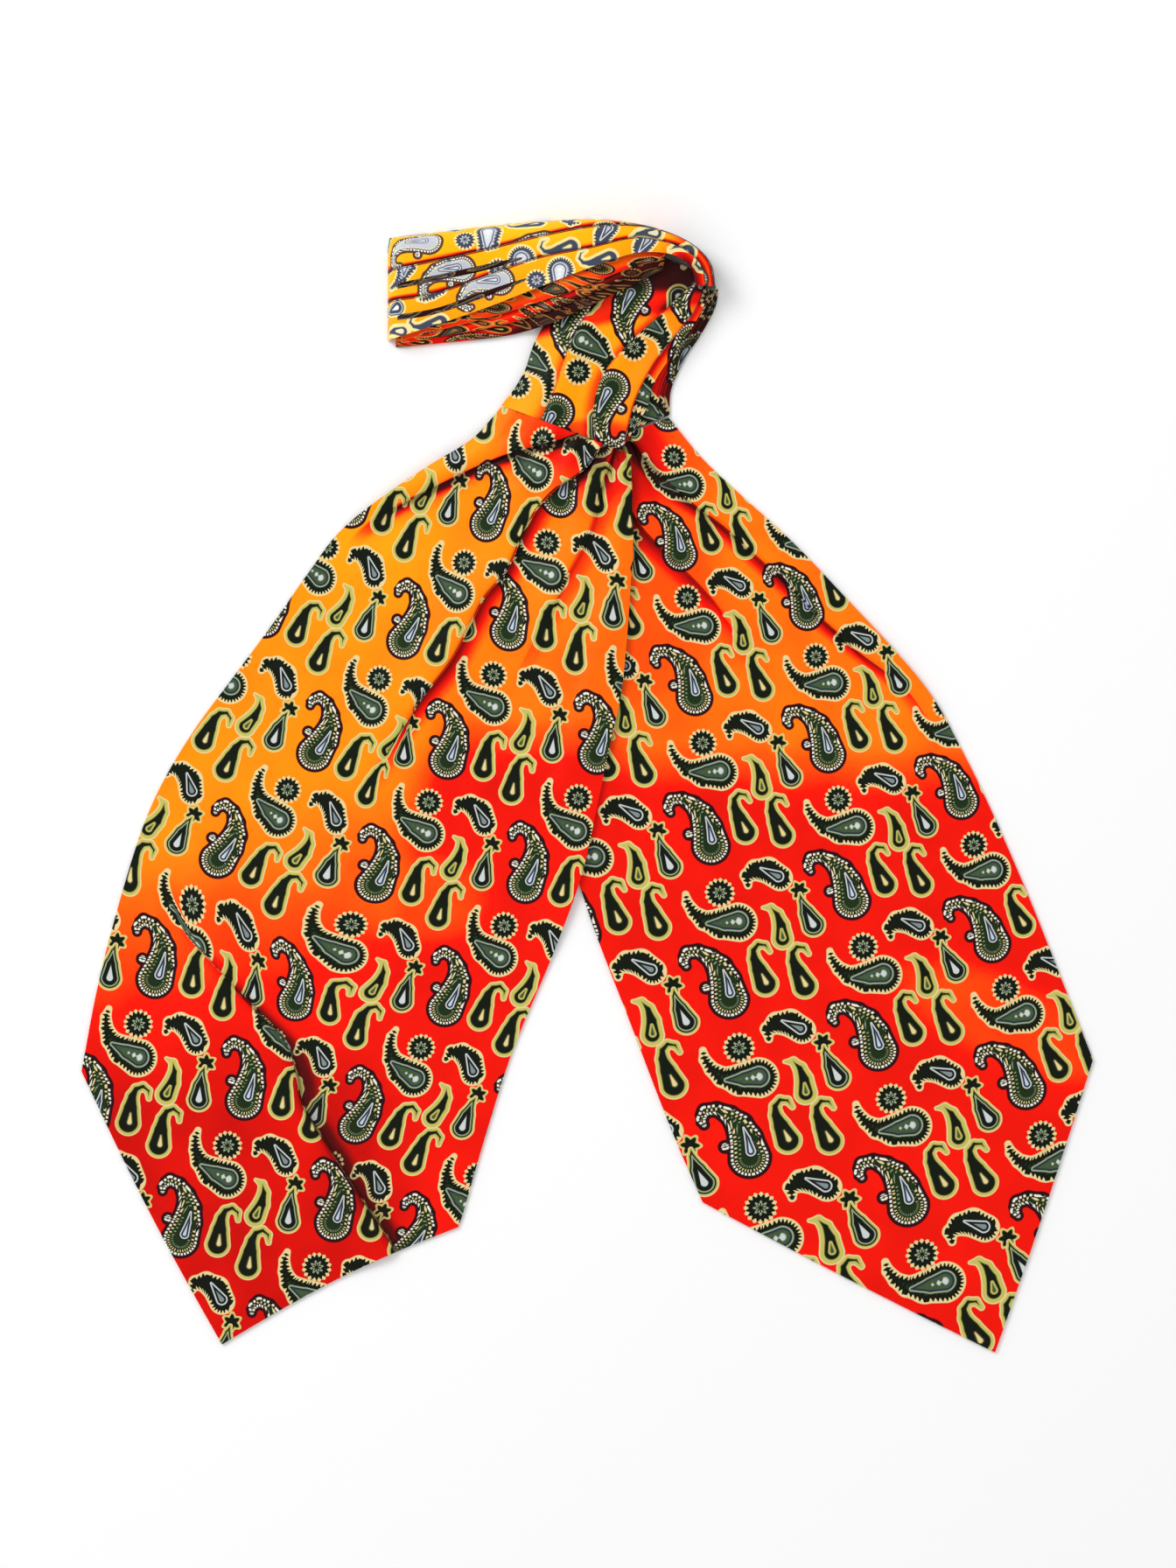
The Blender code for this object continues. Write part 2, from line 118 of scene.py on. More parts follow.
def blade_axes(blade):
    lean = math.radians(blade["lean"])
    down = np.array([math.sin(lean), -math.cos(lean)])
    outward = blade["side"] * np.array([math.cos(lean), math.sin(lean)])
    return down, outward


def on_table(blade, along, out):
    down, outward = blade_axes(blade)
    return (blade["root"][0] + along * down[0] + out * outward[0],
            blade["root"][1] + along * down[1] + out * outward[1])


def on_blade(blade, x, y):
    down, outward = blade_axes(blade)
    dx = x - blade["root"][0]
    dy = y - blade["root"][1]
    return dx * down[0] + dy * down[1], dx * outward[0] + dy * outward[1]


def widths(table, along):
    at, outer, inner = zip(*table)
    return through(along, at, outer), through(along, at, inner)


def crease(pleat, along):
    at, outward = zip(*pleat["line"])
    return through(along, at, outward)


def down_the(pleat, what, along):
    at, amount = zip(*pleat[what])
    return np.interp(along, at, amount)


def rolls(table, along, out):
    total = np.zeros_like(along)
    for line, height, steep, gentle, raised in table:
        at, outward = zip(*line)
        past = (out - through(along, at, outward)) * raised
        shape = ease(-steep, 0.0, past) * (1.0 - ease(0.0, gentle, past))
        grows = ease(at[0] - 12.0, at[0] + 18.0, along) * (1.0 - ease(at[-1] - 25.0, at[-1] + 15.0, along))
        total = total + height * shape * grows
    return total


def gathers(spec, table, along, out):
    """Small ridges that fan out of the seam."""
    outer, inner = widths(table, along)
    across = np.clip((outer - out) / (outer + inner), 0.0, 1.0)
    wave = 0.5 - 0.5 * np.cos(2.0 * math.pi * spec["count"] * across)
    pucker = 0.5 - 0.5 * np.cos(2.0 * math.pi * (3.4 * spec["count"] * across + 0.3))
    return (spec["height"] * wave * (1.0 - ease(0.0, spec["reach"], along))
            + 0.5 * pucker * (1.0 - ease(0.0, 0.3 * spec["reach"], along)))


def relief(pleats, table, spec, widths_table, along, out):
    """The height of a blade as a plain surface, for what lies on it."""
    total = rolls(table, along, out) + gathers(spec, widths_table, along, out)
    for pleat in pleats:
        past = (out - crease(pleat, along)) * pleat["over"]
        shape = ease(-5.0, 0.0, past) * (1.0 - ease(0.0, pleat["fade"], past))
        total = total + down_the(pleat, "lift", along) * shape
    return total


FOLD_STEPS = 8


def pleated_columns(panel_steps):
    """The columns of a pleated sheet: for each, its panel or fold number, how far across it, and which."""
    number = []
    part = []
    folded = []
    for i, steps in enumerate(panel_steps):
        number += [i] * (steps + 1)
        part += list(np.linspace(0.0, 1.0, steps + 1))
        folded += [False] * (steps + 1)
        if i < len(panel_steps) - 1:
            number += [i] * (FOLD_STEPS - 1)
            part += list(np.arange(1, FOLD_STEPS) / FOLD_STEPS)
            folded += [True] * (FOLD_STEPS - 1)
    return np.array(number), np.array(part), np.array(folded)


def lay_columns(columns, near, far, creases, tucks, overs):
    """Where each column lies across the sheet, from its near edge to its far one.

    creases and tucks are arrays like near; overs is 1 where the cloth on the near side lies on top."""
    number, part, folded = columns
    swing = 0.5 - 0.5 * np.cos(math.pi * part)
    starts = [near]
    ends = []
    for at, tuck, over in zip(creases, tucks, overs):
        turn = at if over > 0 else at + tuck
        ends.append(turn)
        starts.append(turn - tuck)
    ends.append(far)
    across = np.zeros_like(near)
    for i, (start, end) in enumerate(zip(starts, ends)):
        across = np.where((number == i) & ~folded, start + (end - start) * part, across)
        if i < len(creases):
            across = np.where((number == i) & folded, end - tucks[i] * swing, across)
    return across


def on_print(lie, x, y):
    """The print's own coordinates at a spot on the table, for cloth that lies so."""
    right, up = x - lie["at"][0], y - lie["at"][1]
    turn = np.radians(lie["turn"] + 0.01 * (lie["swing"][0] * right + lie["swing"][1] * up))
    grown = 1.0 + 0.01 * (lie["growth"][0] * right + lie["growth"][1] * up)
    dx, dy = right / (lie["size"][0] * grown), up / (lie["size"][1] * grown)
    a, b = lie["boteh"]
    return (GREAT[0][0] + a * STEP_A[0] + b * STEP_B[0] + dx * np.cos(turn) + dy * np.sin(turn),
            GREAT[0][1] + a * STEP_A[1] + b * STEP_B[1] + dy * np.cos(turn) - dx * np.sin(turn))


def print_on_columns(columns, printed_at):
    """The print at each column: printed_at(panel) on the panels, run on from one to the next in folds."""
    number, part, folded = columns
    swing = np.where(folded, 0.5 - 0.5 * np.cos(math.pi * part), 0.0)
    panels = [printed_at(panel) for panel in range(number.max() + 1)]
    return [sum(np.where(number == i, (1.0 - swing) * panels[i][axis]
                         + swing * panels[min(i + 1, len(panels) - 1)][axis], 0.0)
                for i in range(len(panels))) for axis in (0, 1)]


def pleat_rise(columns, across, creases, tucks, lifts, pleats, wall):
    """The height that the pleats give each column, layer over layer."""
    number, part, folded = columns
    total = np.zeros_like(across)
    for i, (at, tuck, height, pleat) in enumerate(zip(creases, tucks, lifts, pleats)):
        over = pleat["over"]
        raised = (number <= i) if over > 0 else (number > i)
        in_fold = (number == i) & folded
        past = np.maximum((at - across) * over, 0.0)
        drop, rounded = pleat.get("edge", (0.10, 0.9))
        shape = (1.0 - ease(0.0, pleat["fade"], past)) - drop * np.exp(-past / rounded)
        down = (1.0 - drop) * ((1.0 - part) if over > 0 else part)
        total = total + height * np.where(in_fold, down, np.where(raised, shape, 0.0))
        total = total + np.where(in_fold, wall * np.clip(tuck, 0.0, 1.0), 0.0)
    return total


def pleat_shade(columns, across, creases, lifts, pleats):
    """How much deeper the colour is in the shade beside each raised edge and under it."""
    number, part, folded = columns
    total = np.zeros_like(across)
    for i, (at, height, pleat) in enumerate(zip(creases, lifts, pleats)):
        over = pleat["over"]
        below = ((number > i) if over > 0 else (number <= i)) | ((number == i) & folded)
        past = (across - at) * over
        depth, reach = pleat["hue"]
        drop, rounded = pleat.get("edge", (0.10, 0.9))
        on_edge = drop * np.exp(np.minimum(past, 0.0) / rounded)
        shade = np.where(below, 1.0 - ease(0.0, reach, past), on_edge)
        total = total + depth * shade * np.clip(0.6 * height, 0.0, 1.0)
    return total


def silk_sheet(name, columns, rows, place):
    """A grid whose vertices are moved by place(column, row from 0 to 1) to (x, y, z, u, v, painted light and
    shade).
    """
    bpy.ops.object.select_all(action="DESELECT")
    bpy.ops.mesh.primitive_grid_add(x_subdivisions=columns, y_subdivisions=rows, size=1.0,
                                    location=(0.0, 0.0, 0.0))
    sheet = bpy.context.object
    sheet.name = name
    mesh = sheet.data
    mesh.name = name
    grid = np.empty(3 * len(mesh.vertices))
    mesh.vertices.foreach_get("co", grid)
    grid = grid.reshape(-1, 3) + 0.5
    column = np.rint(grid[:, 0] * columns).astype(int)
    x, y, z, u, v, hue = place(column, 1.0 - grid[:, 1])
    spot = np.stack([(x + SEAM[0]) * MM, (y + SEAM[1]) * MM, z * MM], axis=1)
    mesh.vertices.foreach_set("co", spot.ravel())
    while mesh.uv_layers:
        mesh.uv_layers.remove(mesh.uv_layers[0])
    corner = np.empty(len(mesh.loops), int)
    mesh.loops.foreach_get("vertex_index", corner)
    cloth = mesh.uv_layers.new(name="cloth")
    cloth.data.foreach_set("uv", np.stack([u[corner], v[corner]], axis=1).ravel())
    # The painted light and shade goes on each vertex, for the material's colour ramp.
    tone = mesh.attributes.new("hue", "FLOAT", "POINT")
    tone.data.foreach_set("value", np.clip(hue, 0.0, 1.3))
    mesh.update()
    return sheet


def pick(sheet):
    bpy.ops.object.select_all(action="DESELECT")
    sheet.select_set(True)
    bpy.context.view_layer.objects.active = sheet


def face_up(sheet):
    """Turns the faces so that most of the sheet looks up off the table."""
    up = sum(face.normal.z * face.area for face in sheet.data.polygons)
    if up < 0.0:
        pick(sheet)
        bpy.ops.object.mode_set(mode="EDIT")
        bpy.ops.mesh.select_all(action="SELECT")
        bpy.ops.mesh.flip_normals()
        bpy.ops.object.mode_set(mode="OBJECT")


def thicken(sheet, thickness):
    face_up(sheet)
    pick(sheet)
    wall = sheet.modifiers.new("Silk", "SOLIDIFY")
    wall.thickness = thickness * MM
    wall.offset = 1.0
    wall.use_even_offset = False
    bpy.ops.object.modifier_apply(modifier=wall.name)
    bpy.ops.object.shade_smooth_by_angle(angle=math.radians(60.0))


def patch(x, y, at, reach, turn=0.0):
    """1 in the middle of a soft oval, 0 outside it."""
    cos, sin = math.cos(math.radians(turn)), math.sin(math.radians(turn))
    dx, dy = x - at[0], y - at[1]
    far = np.hypot((dx * cos + dy * sin) / reach[0], (dy * cos - dx * sin) / reach[1])
    return 1.0 - ease(0.45, 1.0, far)


def painted_ground_light(x, y):
    """Painted light and shade on the silk's red-orange: golden orange (0) where it is lit to deep red (0.8)
    away from the light, sharp at the right and soft at the left, with two paler patches of painted light and
    painted shade deepening at the bottom left.
    """
    left = ease(-58.0, -85.0, x)
    turns_at = -112.0 - 12.0 * ease(-10.0, 20.0, x) - 50.0 * left - 0.25 * np.maximum(-85.0 - x, 0.0)
    soft = 13.0 + 37.0 * left
    above = 0.19 + 0.22 * ease(-110.0, 20.0, x) + 0.10 * ease(-30.0, -90.0, y) * ease(40.0, -60.0, x)
    hue = above + (0.77 - above) * ease(turns_at + soft, turns_at - soft, y)
    hue = hue - 0.16 * patch(x, y, (-68.0, -172.0), (34.0, 22.0))
    hue = hue - 0.14 * patch(x, y, (152.0, -218.0), (60.0, 20.0), -23.0)
    return hue + 0.10 * ease(-215.0, -255.0, y) * ease(-60.0, -90.0, x)


def hem(distance, reach, side):
    """How far up from the tip the hem is, at a distance to one side of it."""
    slope, hollow = side
    return -slope * distance - hollow * np.sin(math.pi * np.clip(distance / reach, 0.0, 1.0))


def blade_sheet(name, blade, table, pleats, panel_steps, rows, printed_at, height, seam_shade):
    """One blade: pleated columns down from the seam to a pointed hem.

    printed_at(panel, along, out, x, y) gives the print's own coordinates there."""
    tip_along, tip_out = blade["tip"]
    overs = [pleat["over"] for pleat in pleats]

    def spread(columns, along):
        outer, inner = widths(table, along)
        creases = [outer - crease(pleat, along) for pleat in pleats]
        tucks = [down_the(pleat, "tuck", along) for pleat in pleats]
        across = lay_columns(columns, 0.0 * along, outer + inner, creases, tucks, overs)
        return outer, across, creases, tucks

    number, part, folded = pleated_columns(panel_steps)
    end = np.full(len(part), tip_along)
    outer, across, _, _ = spread((number, part, folded), end)
    at_tip = np.argmin(np.where(folded, 1e9, np.abs(outer - across - tip_out)))
    same_panel = (number == number[at_tip]) & ~folded
    part[at_tip] = np.interp(outer[at_tip] - tip_out, across[same_panel], part[same_panel])
    corner_outer, corner_inner = widths(table, tip_along)
    for _ in range(40):
        outer, across, _, _ = spread((number, part, folded), end)
        out = outer - across
        outer_hem = hem(out - tip_out, corner_outer - tip_out, blade["outer_hem"])
        inner_hem = hem(tip_out - out, corner_inner + tip_out, blade["inner_hem"])
        end = 0.7 * end + 0.3 * (tip_along + np.where(out > tip_out, outer_hem, inner_hem))

    def place(column, row):
        columns = (number[column], part[column], folded[column])
        along = blade["top"] + row**1.12 * (end[column] - blade["top"])
        outer, across, creases, tucks = spread(columns, along)
        out = outer - across
        lifts = [down_the(pleat, "lift", along) for pleat in pleats]
        lift = pleat_rise(columns, across, creases, tucks, lifts, pleats, SILK)
        shade = pleat_shade(columns, across, creases, lifts, pleats)
        x, y = on_table(blade, along, out)
        z = height(along, out) + lift
        u, v = print_on_columns(columns, lambda panel: printed_at(panel, along, out, x, y))
        # The vertex colour value: painted light over the silk, plus painted shade beside the pleats and near
        # the seam.
        return x, y, z, u, v, painted_ground_light(x, y) + shade + seam_shade(along, out)

    return silk_sheet(name, len(part) - 1, rows, place)


class Thread:
    """One value on its way through a dye, so that sums written on it become Math nodes."""

    def __init__(self, tree, socket=None):
        self.tree = tree
        self.socket = socket

    def node(self, kind, settings=None, sockets=None, out=0):
        made = self.tree.nodes.new("ShaderNode" + kind)
        for name, value in (settings or {}).items():
            if name == "stops":
                ramp = made.color_ramp
                for spot, colour in value[2:]:
                    ramp.elements.new(spot)
                for element, (spot, colour) in zip(ramp.elements, value):
                    element.position = spot
                    element.color = colour
            else:
                setattr(made, name, value)
        for name, value in (sockets or {}).items():
            if isinstance(value, Thread):
                self.tree.links.new(value.socket, made.inputs[name])
            else:
                made.inputs[name].default_value = value
        return Thread(self.tree, made.outputs[out])

    def math(self, operation, *others, clamp=False):
        values = dict(enumerate((self,) + others))
        return self.node("Math", {"operation": operation, "use_clamp": clamp}, values)

    def vector(self, operation, *others, out=0):
        values = dict(enumerate((self,) + others))
        return self.node("VectorMath", {"operation": operation}, values, out)

    def dot(self, x, y):
        return self.vector("DOT_PRODUCT", (x, y, 0.0), out=1)

    def __add__(self, other):
        return self.math("ADD", other)

    def __sub__(self, other):
        return self.math("SUBTRACT", other)

    def __rsub__(self, other):
        return self.node("Math", {"operation": "SUBTRACT"}, {0: other, 1: self})

    def __mul__(self, other):
        return self.math("MULTIPLY", other)

    __radd__ = __add__
    __rmul__ = __mul__


def ink(red, green, blue):
    """A dye's colour, given as it looks on a screen from 0 to 255."""
    return tuple(((c / 255.0 + 0.055) / 1.055) ** 2.4 if c > 10 else c / 255.0 / 12.92
                 for c in (red, green, blue)) + (1.0,)


# The print's repeat: two steps that bring the pattern back on itself, and its motifs as beads of
# (x, y, radius), strung from the round end to the tip. Millimetres from the middle of the great boteh.
STEP_A = (53.0, -19.0)
STEP_B = (-9.0, 56.0)
GREAT = [(3.2, -4.4, 7.5), (1.6, 2.0, 6.3), (-0.6, 6.8, 5.2), (-4.0, 10.2, 3.9), (-8.4, 12.3, 2.9),
         (-12.3, 11.6, 2.8), (-13.5, 8.6, 2.6), (-12.3, 6.6, 2.0)]
GREAT_EYE = [(3.5, -2.2, 1.75), (2.3, 2.2, 1.1), (0.8, 6.0, 0.4)]
GREAT_BUD = (-5.0, -0.8)
GREAT_BUD_RADIUS = 2.5
PLAIN = [(15.8, 1.6, 5.0), (13.4, 6.6, 3.8), (11.6, 10.5, 2.8), (11.2, 13.6, 2.2), (12.8, 15.9, 1.9),
         (15.4, 15.7, 1.7), (17.1, 13.4, 1.2)]
PLAIN_SEED = [(16.1, 2.0, 0.95), (14.5, 5.0, 0.3)]
PLAIN_TWIN = (14.1, -0.6)
TWIN_FROM = 23.3              # how far along the slanted line between them the second one's side starts
TOOTHED = [(14.2, -32.3, 7.3), (8.0, -33.2, 5.8), (2.2, -32.4, 3.8), (-1.6, -29.8, 2.7), (-4.2, -26.4, 2.1),
           (-5.0, -23.2, 1.3)]
TOOTHED_LEAF = [(14.4, -31.9, 3.9), (9.6, -32.8, 2.9), (3.4, -33.4, 0.9)]
SMALL = [(29.2, -15.2, 4.9), (24.8, -12.5, 5.1), (20.2, -12.6, 4.1), (17.0, -14.8, 2.7), (17.5, -18.4, 1.5)]
SMALL_LEAF = [(28.6, -14.6, 2.2), (22.0, -11.8, 0.5)]
ROSETTE = (7.3, -21.8)
ROSETTE_RADIUS = 5.5
WIDE = [(30.6, -37.8, 4.3), (30.0, -32.9, 3.5), (28.5, -28.9, 2.7), (26.2, -26.4, 1.8), (23.2, -26.5, 0.8)]
WIDE_SEED = [(30.7, -37.4, 1.2), (30.2, -34.4, 0.5)]
DROP = [(41.8, -32.4, 4.8), (39.4, -28.0, 3.5), (37.4, -23.6, 1.8), (36.8, -21.0, 0.9)]
STAR = (36.5, -19.6)
STAR_RADIUS = 3.5
# The middles of the three cells that hold the motifs whole, and how far apart two teeth or pearls are.
CELLS = ((10.2, 4.7), (13.8, -22.4), (34.7, -29.8))
PEARL_PITCH = 1.5
TOOTH_PITCH = 1.55


def repeat(place, centre):
    """The same spot in the repeat's cell round centre, in millimetres."""
    det = STEP_A[0] * STEP_B[1] - STEP_A[1] * STEP_B[0]
    a = (STEP_B[1] * centre[0] - STEP_B[0] * centre[1]) / det
    b = (STEP_A[0] * centre[1] - STEP_A[1] * centre[0]) / det
    shifted = place.vector("SUBTRACT", (a - 0.5, b - 0.5, 0.0))
    cell = shifted.vector("FRACTION").vector("ADD", (a - 0.5, b - 0.5, 0.0))
    x = cell.dot(STEP_A[0], STEP_B[0])
    y = cell.dot(STEP_A[1], STEP_B[1])
    return place.node("CombineXYZ", None, {0: x, 1: y})


def strung(spot, beads):
    """How deep a spot is inside a tapering string of beads, and how far along the string it is."""
    depth = None
    length = None
    for (ax, ay, ar), (bx, by, br) in zip(beads[:-1], beads[1:]):
        dx, dy = bx - ax, by - ay
        span = dx * dx + dy * dy
        along = spot.dot(dx / span, dy / span).math("ADD", -(ax * dx + ay * dy) / span, clamp=True)
        nearest = spot.node("VectorMath", {"operation": "MULTIPLY_ADD"},
                            {0: (dx, dy, 0.0), 1: along, 2: (ax, ay, 0.0)})
        inside = along.math("MULTIPLY_ADD", br - ar, ar) - spot.vector("DISTANCE", nearest, out=1)
        depth = inside if depth is None else depth.math("SMOOTH_MAX", inside, 0.5)
        run = along * math.sqrt(span)
        length = run if length is None else length + run
    return depth, length


def teeth(spot, beads, length, pitch):
    """A wave that runs round a motif's edge, from its round end up both sides."""
    (ax, ay, radius), (bx, by, _) = beads[:2]
    reach = math.hypot(bx - ax, by - ay)
    ux, uy = (bx - ax) / reach, (by - ay) / reach
    from_end = spot.vector("SUBTRACT", (ax, ay, 0.0))
    turn = from_end.dot(-uy, ux).math("ARCTAN2", from_end.dot(ux, uy)).math("ABSOLUTE")
    round_end = (turn - math.pi / 2.0).math("MAXIMUM", 0.0) * radius
    return ((round_end - length) * (2.0 * math.pi / pitch)).math("COSINE")


def around(spot, centre):
    """The direction of a spot from a centre, and its distance."""
    away = spot.vector("SUBTRACT", centre + (0.0,))
    return away.dot(0.0, 1.0).math("ARCTAN2", away.dot(1.0, 0.0)), away.vector("LENGTH", out=1)


def dyed(inks, base, depth, reach, bands, soft=0.13):
    """Prints bands of (depth inside the motif's edge, ink) over base."""
    bands = [(start, inks[name]) for start, name in bands]
    stops = [(0.0, bands[0][1][:3] + (0.0,))]
    for i, (start, colour) in enumerate(bands):
        before = bands[i - 1][1] if i else colour[:3] + (0.0,)
        stops.append(((start + 1.0 - soft) / reach, before))
        stops.append(((start + 1.0 + soft) / reach, colour))
    tone = depth.node("ValToRGB", {"stops": stops},
                      {0: depth.math("MULTIPLY_ADD", 1.0 / reach, 1.0 / reach)})
    cover = Thread(depth.tree, tone.socket.node.outputs[1])
    return depth.node("Mix", {"data_type": "RGBA"}, {0: cover, 6: base, 7: tone}, out=2)


def dabbed(base, cover, colour):
    return cover.node("Mix", {"data_type": "RGBA"}, {0: cover, 6: base, 7: colour}, out=2)


def ring(depth, at, half):
    """1 along a thin line at a depth, 0 away from it."""
    return ((depth - at).math("ABSOLUTE") * (-2.0 / half)).math("ADD", 2.0, clamp=True)


# The inks, how they look where the light rakes over them and turns the dark ones grey-blue, and how
# they look on folded edges in the shade.
INKS = dict(cream=ink(226, 206, 146), pearl=ink(236, 232, 214), pale=ink(200, 206, 204),
            ice=ink(190, 204, 222), slate=ink(124, 138, 140), maroon=ink(48, 6, 12),
            black=ink(14, 20, 10), bottle=ink(28, 46, 18), leaf=ink(64, 84, 52), sage=ink(150, 164, 132),
            lime=ink(192, 184, 92), olive=ink(88, 92, 38), navy=ink(36, 46, 62))
RAKED = dict(cream=ink(250, 230, 160), pearl=ink(250, 246, 226), pale=ink(236, 234, 230),
             ice=ink(216, 222, 236), slate=ink(178, 186, 200), maroon=ink(96, 56, 36),
             black=ink(66, 72, 92), bottle=ink(190, 194, 204), leaf=ink(216, 218, 224),
             sage=ink(206, 208, 206), lime=ink(240, 222, 150), olive=ink(150, 146, 118),
             navy=ink(98, 108, 140))
LAYERED = dict(INKS, cream=ink(240, 170, 90), pearl=ink(240, 190, 130), pale=ink(200, 110, 70),
               lime=ink(206, 110, 30), sage=ink(150, 70, 30), ice=ink(170, 90, 70))


def printed(ground, place, inks):
    """Prints the repeat's motifs over the ground."""
    det = STEP_A[0] * STEP_B[1] - STEP_A[1] * STEP_B[0]
    cells = place.node("CombineXYZ", None, {
        0: place.dot(STEP_B[1] / det, -STEP_B[0] / det),
        1: place.dot(-STEP_A[1] / det, STEP_A[0] / det)})

    spot = repeat(cells, CELLS[0])
    depth, length = strung(spot, GREAT)
    wave = teeth(spot, GREAT, length, PEARL_PITCH)
    bud = GREAT_BUD_RADIUS - spot.vector("DISTANCE", GREAT_BUD + (0.0,), out=1)
    depth = depth.math("SMOOTH_MAX", bud, 0.3)
    cloth = dyed(inks, ground, depth, 12.0, [(0.0, "maroon"), (1.1, "black"), (2.5, "bottle")])
    dashes = ring(depth, 1.65, 0.55) * (wave * 1.6).math("ADD", 0.9, clamp=True)
    pearls = ring(depth, 2.9, 0.6) * (wave * -2.4).math("SUBTRACT", 0.5, clamp=True)
    freckles = ring(depth, 4.3, 0.5) * (wave * 2.4).math("SUBTRACT", 0.9, clamp=True)
    cloth = dabbed(cloth, dashes, inks["pearl"])
    cloth = dabbed(cloth, pearls, inks["cream"])
    cloth = dabbed(cloth, freckles * 0.8, inks["sage"])
    depth, _ = strung(spot, GREAT_EYE)
    cloth = dyed(inks, cloth, depth, 6.0, [(-0.5, "black"), (0.0, "pale"), (0.45, "navy"), (1.15, "ice")])

    beyond = spot.dot(1.0, 0.3).math("GREATER_THAN", TWIN_FROM)
    shift = spot.node("VectorMath", {"operation": "MULTIPLY_ADD"},
                      {0: (-PLAIN_TWIN[0], -PLAIN_TWIN[1], 0.0), 1: beyond, 2: spot})
    depth, _ = strung(shift, PLAIN)
    cloth = dyed(inks, cloth, depth, 9.0, [(0.0, "cream"), (0.4, "lime"), (1.3, "olive"), (1.55, "black")])
    depth, _ = strung(shift, PLAIN_SEED)
    cloth = dyed(inks, cloth, depth, 4.0, [(-0.2, "olive"), (0.1, "cream")], 0.25)

    spot = repeat(cells, CELLS[1])
    depth, length = strung(spot, TOOTHED)
    wave = teeth(spot, TOOTHED, length, TOOTH_PITCH)
    cloth = dyed(inks, cloth, depth, 12.0, [(0.0, "cream")])
    cloth = dyed(inks, cloth, wave * 0.6 + depth, 12.0, [(1.15, "black"), (3.4, "bottle")])
    depth, length = strung(spot, TOOTHED_LEAF)
    seeds = (length * 3.0).math("COSINE") * 0.5 + depth
    cloth = dyed(inks, cloth, depth, 6.0, [(0.0, "sage"), (0.55, "navy"), (1.3, "leaf")])
    cloth = dyed(inks, cloth, seeds, 6.0, [(3.1, "pale")], 0.3)
    depth, length = strung(spot, SMALL)
    wave = teeth(spot, SMALL, length, TOOTH_PITCH)
    cloth = dyed(inks, cloth, depth, 9.0, [(0.0, "cream")])
    cloth = dyed(inks, cloth, wave * 0.55 + depth, 9.0, [(1.05, "black")])
    depth, _ = strung(spot, SMALL_LEAF)
    cloth = dyed(inks, cloth, depth, 5.0, [(0.0, "pale"), (0.5, "black"), (1.3, "slate")])
    turn, distance = around(spot, ROSETTE)
    depth = ROSETTE_RADIUS - distance
    spikes = (turn * 16.0).math("COSINE")
    cloth = dyed(inks, cloth, spikes * 0.35 + depth, 8.0, [(0.3, "cream")])
    cloth = dyed(inks, cloth, depth - spikes * 0.5, 8.0, [(1.1, "black")])
    petals = (turn * 8.0).math("COSINE")
    cloth = dyed(inks, cloth, petals * 0.6 + depth, 8.0, [(3.5, "sage"), (4.3, "black")])

    spot = repeat(cells, CELLS[2])
    depth, _ = strung(spot, WIDE)
    cloth = dyed(inks, cloth, depth, 7.0, [(0.0, "cream"), (0.45, "lime"), (1.75, "olive"), (2.0, "black")])
    depth, _ = strung(spot, WIDE_SEED)
    cloth = dyed(inks, cloth, depth, 4.0, [(-0.1, "lime"), (0.5, "leaf")], 0.2)
    turn, distance = around(spot, STAR)
    depth = (turn * 6.0).math("COSINE") * 0.6 + (STAR_RADIUS - distance)
    cloth = dyed(inks, cloth, depth, 6.0, [(0.0, "cream"), (0.35, "lime"), (0.95, "black")])
    depth, _ = strung(spot, DROP)
    return dyed(inks, cloth, depth, 8.0, [(0.0, "cream"), (0.35, "lime"), (0.9, "black"), (1.5, "sage"),
                                          (1.95, "black"), (3.6, "pale")])


# The silk's red-orange as the painted light and shade turn it: golden orange where it is lit, deep red away
# from the light, near black in the deepest painted shade.
LIT_TO_SHADED = [(0.0, ink(255, 190, 8)), (0.25, ink(255, 150, 4)), (0.5, ink(255, 86, 2)),
          (0.72, ink(250, 20, 0)), (0.9, ink(206, 6, 0)), (1.05, ink(112, 4, 2)), (1.3, ink(40, 3, 3))]


DEEPEST = LIT_TO_SHADED[-1][0]
SHADE = ink(40, 5, 6)
RIB = 0.7                     # from one twill rib to the next


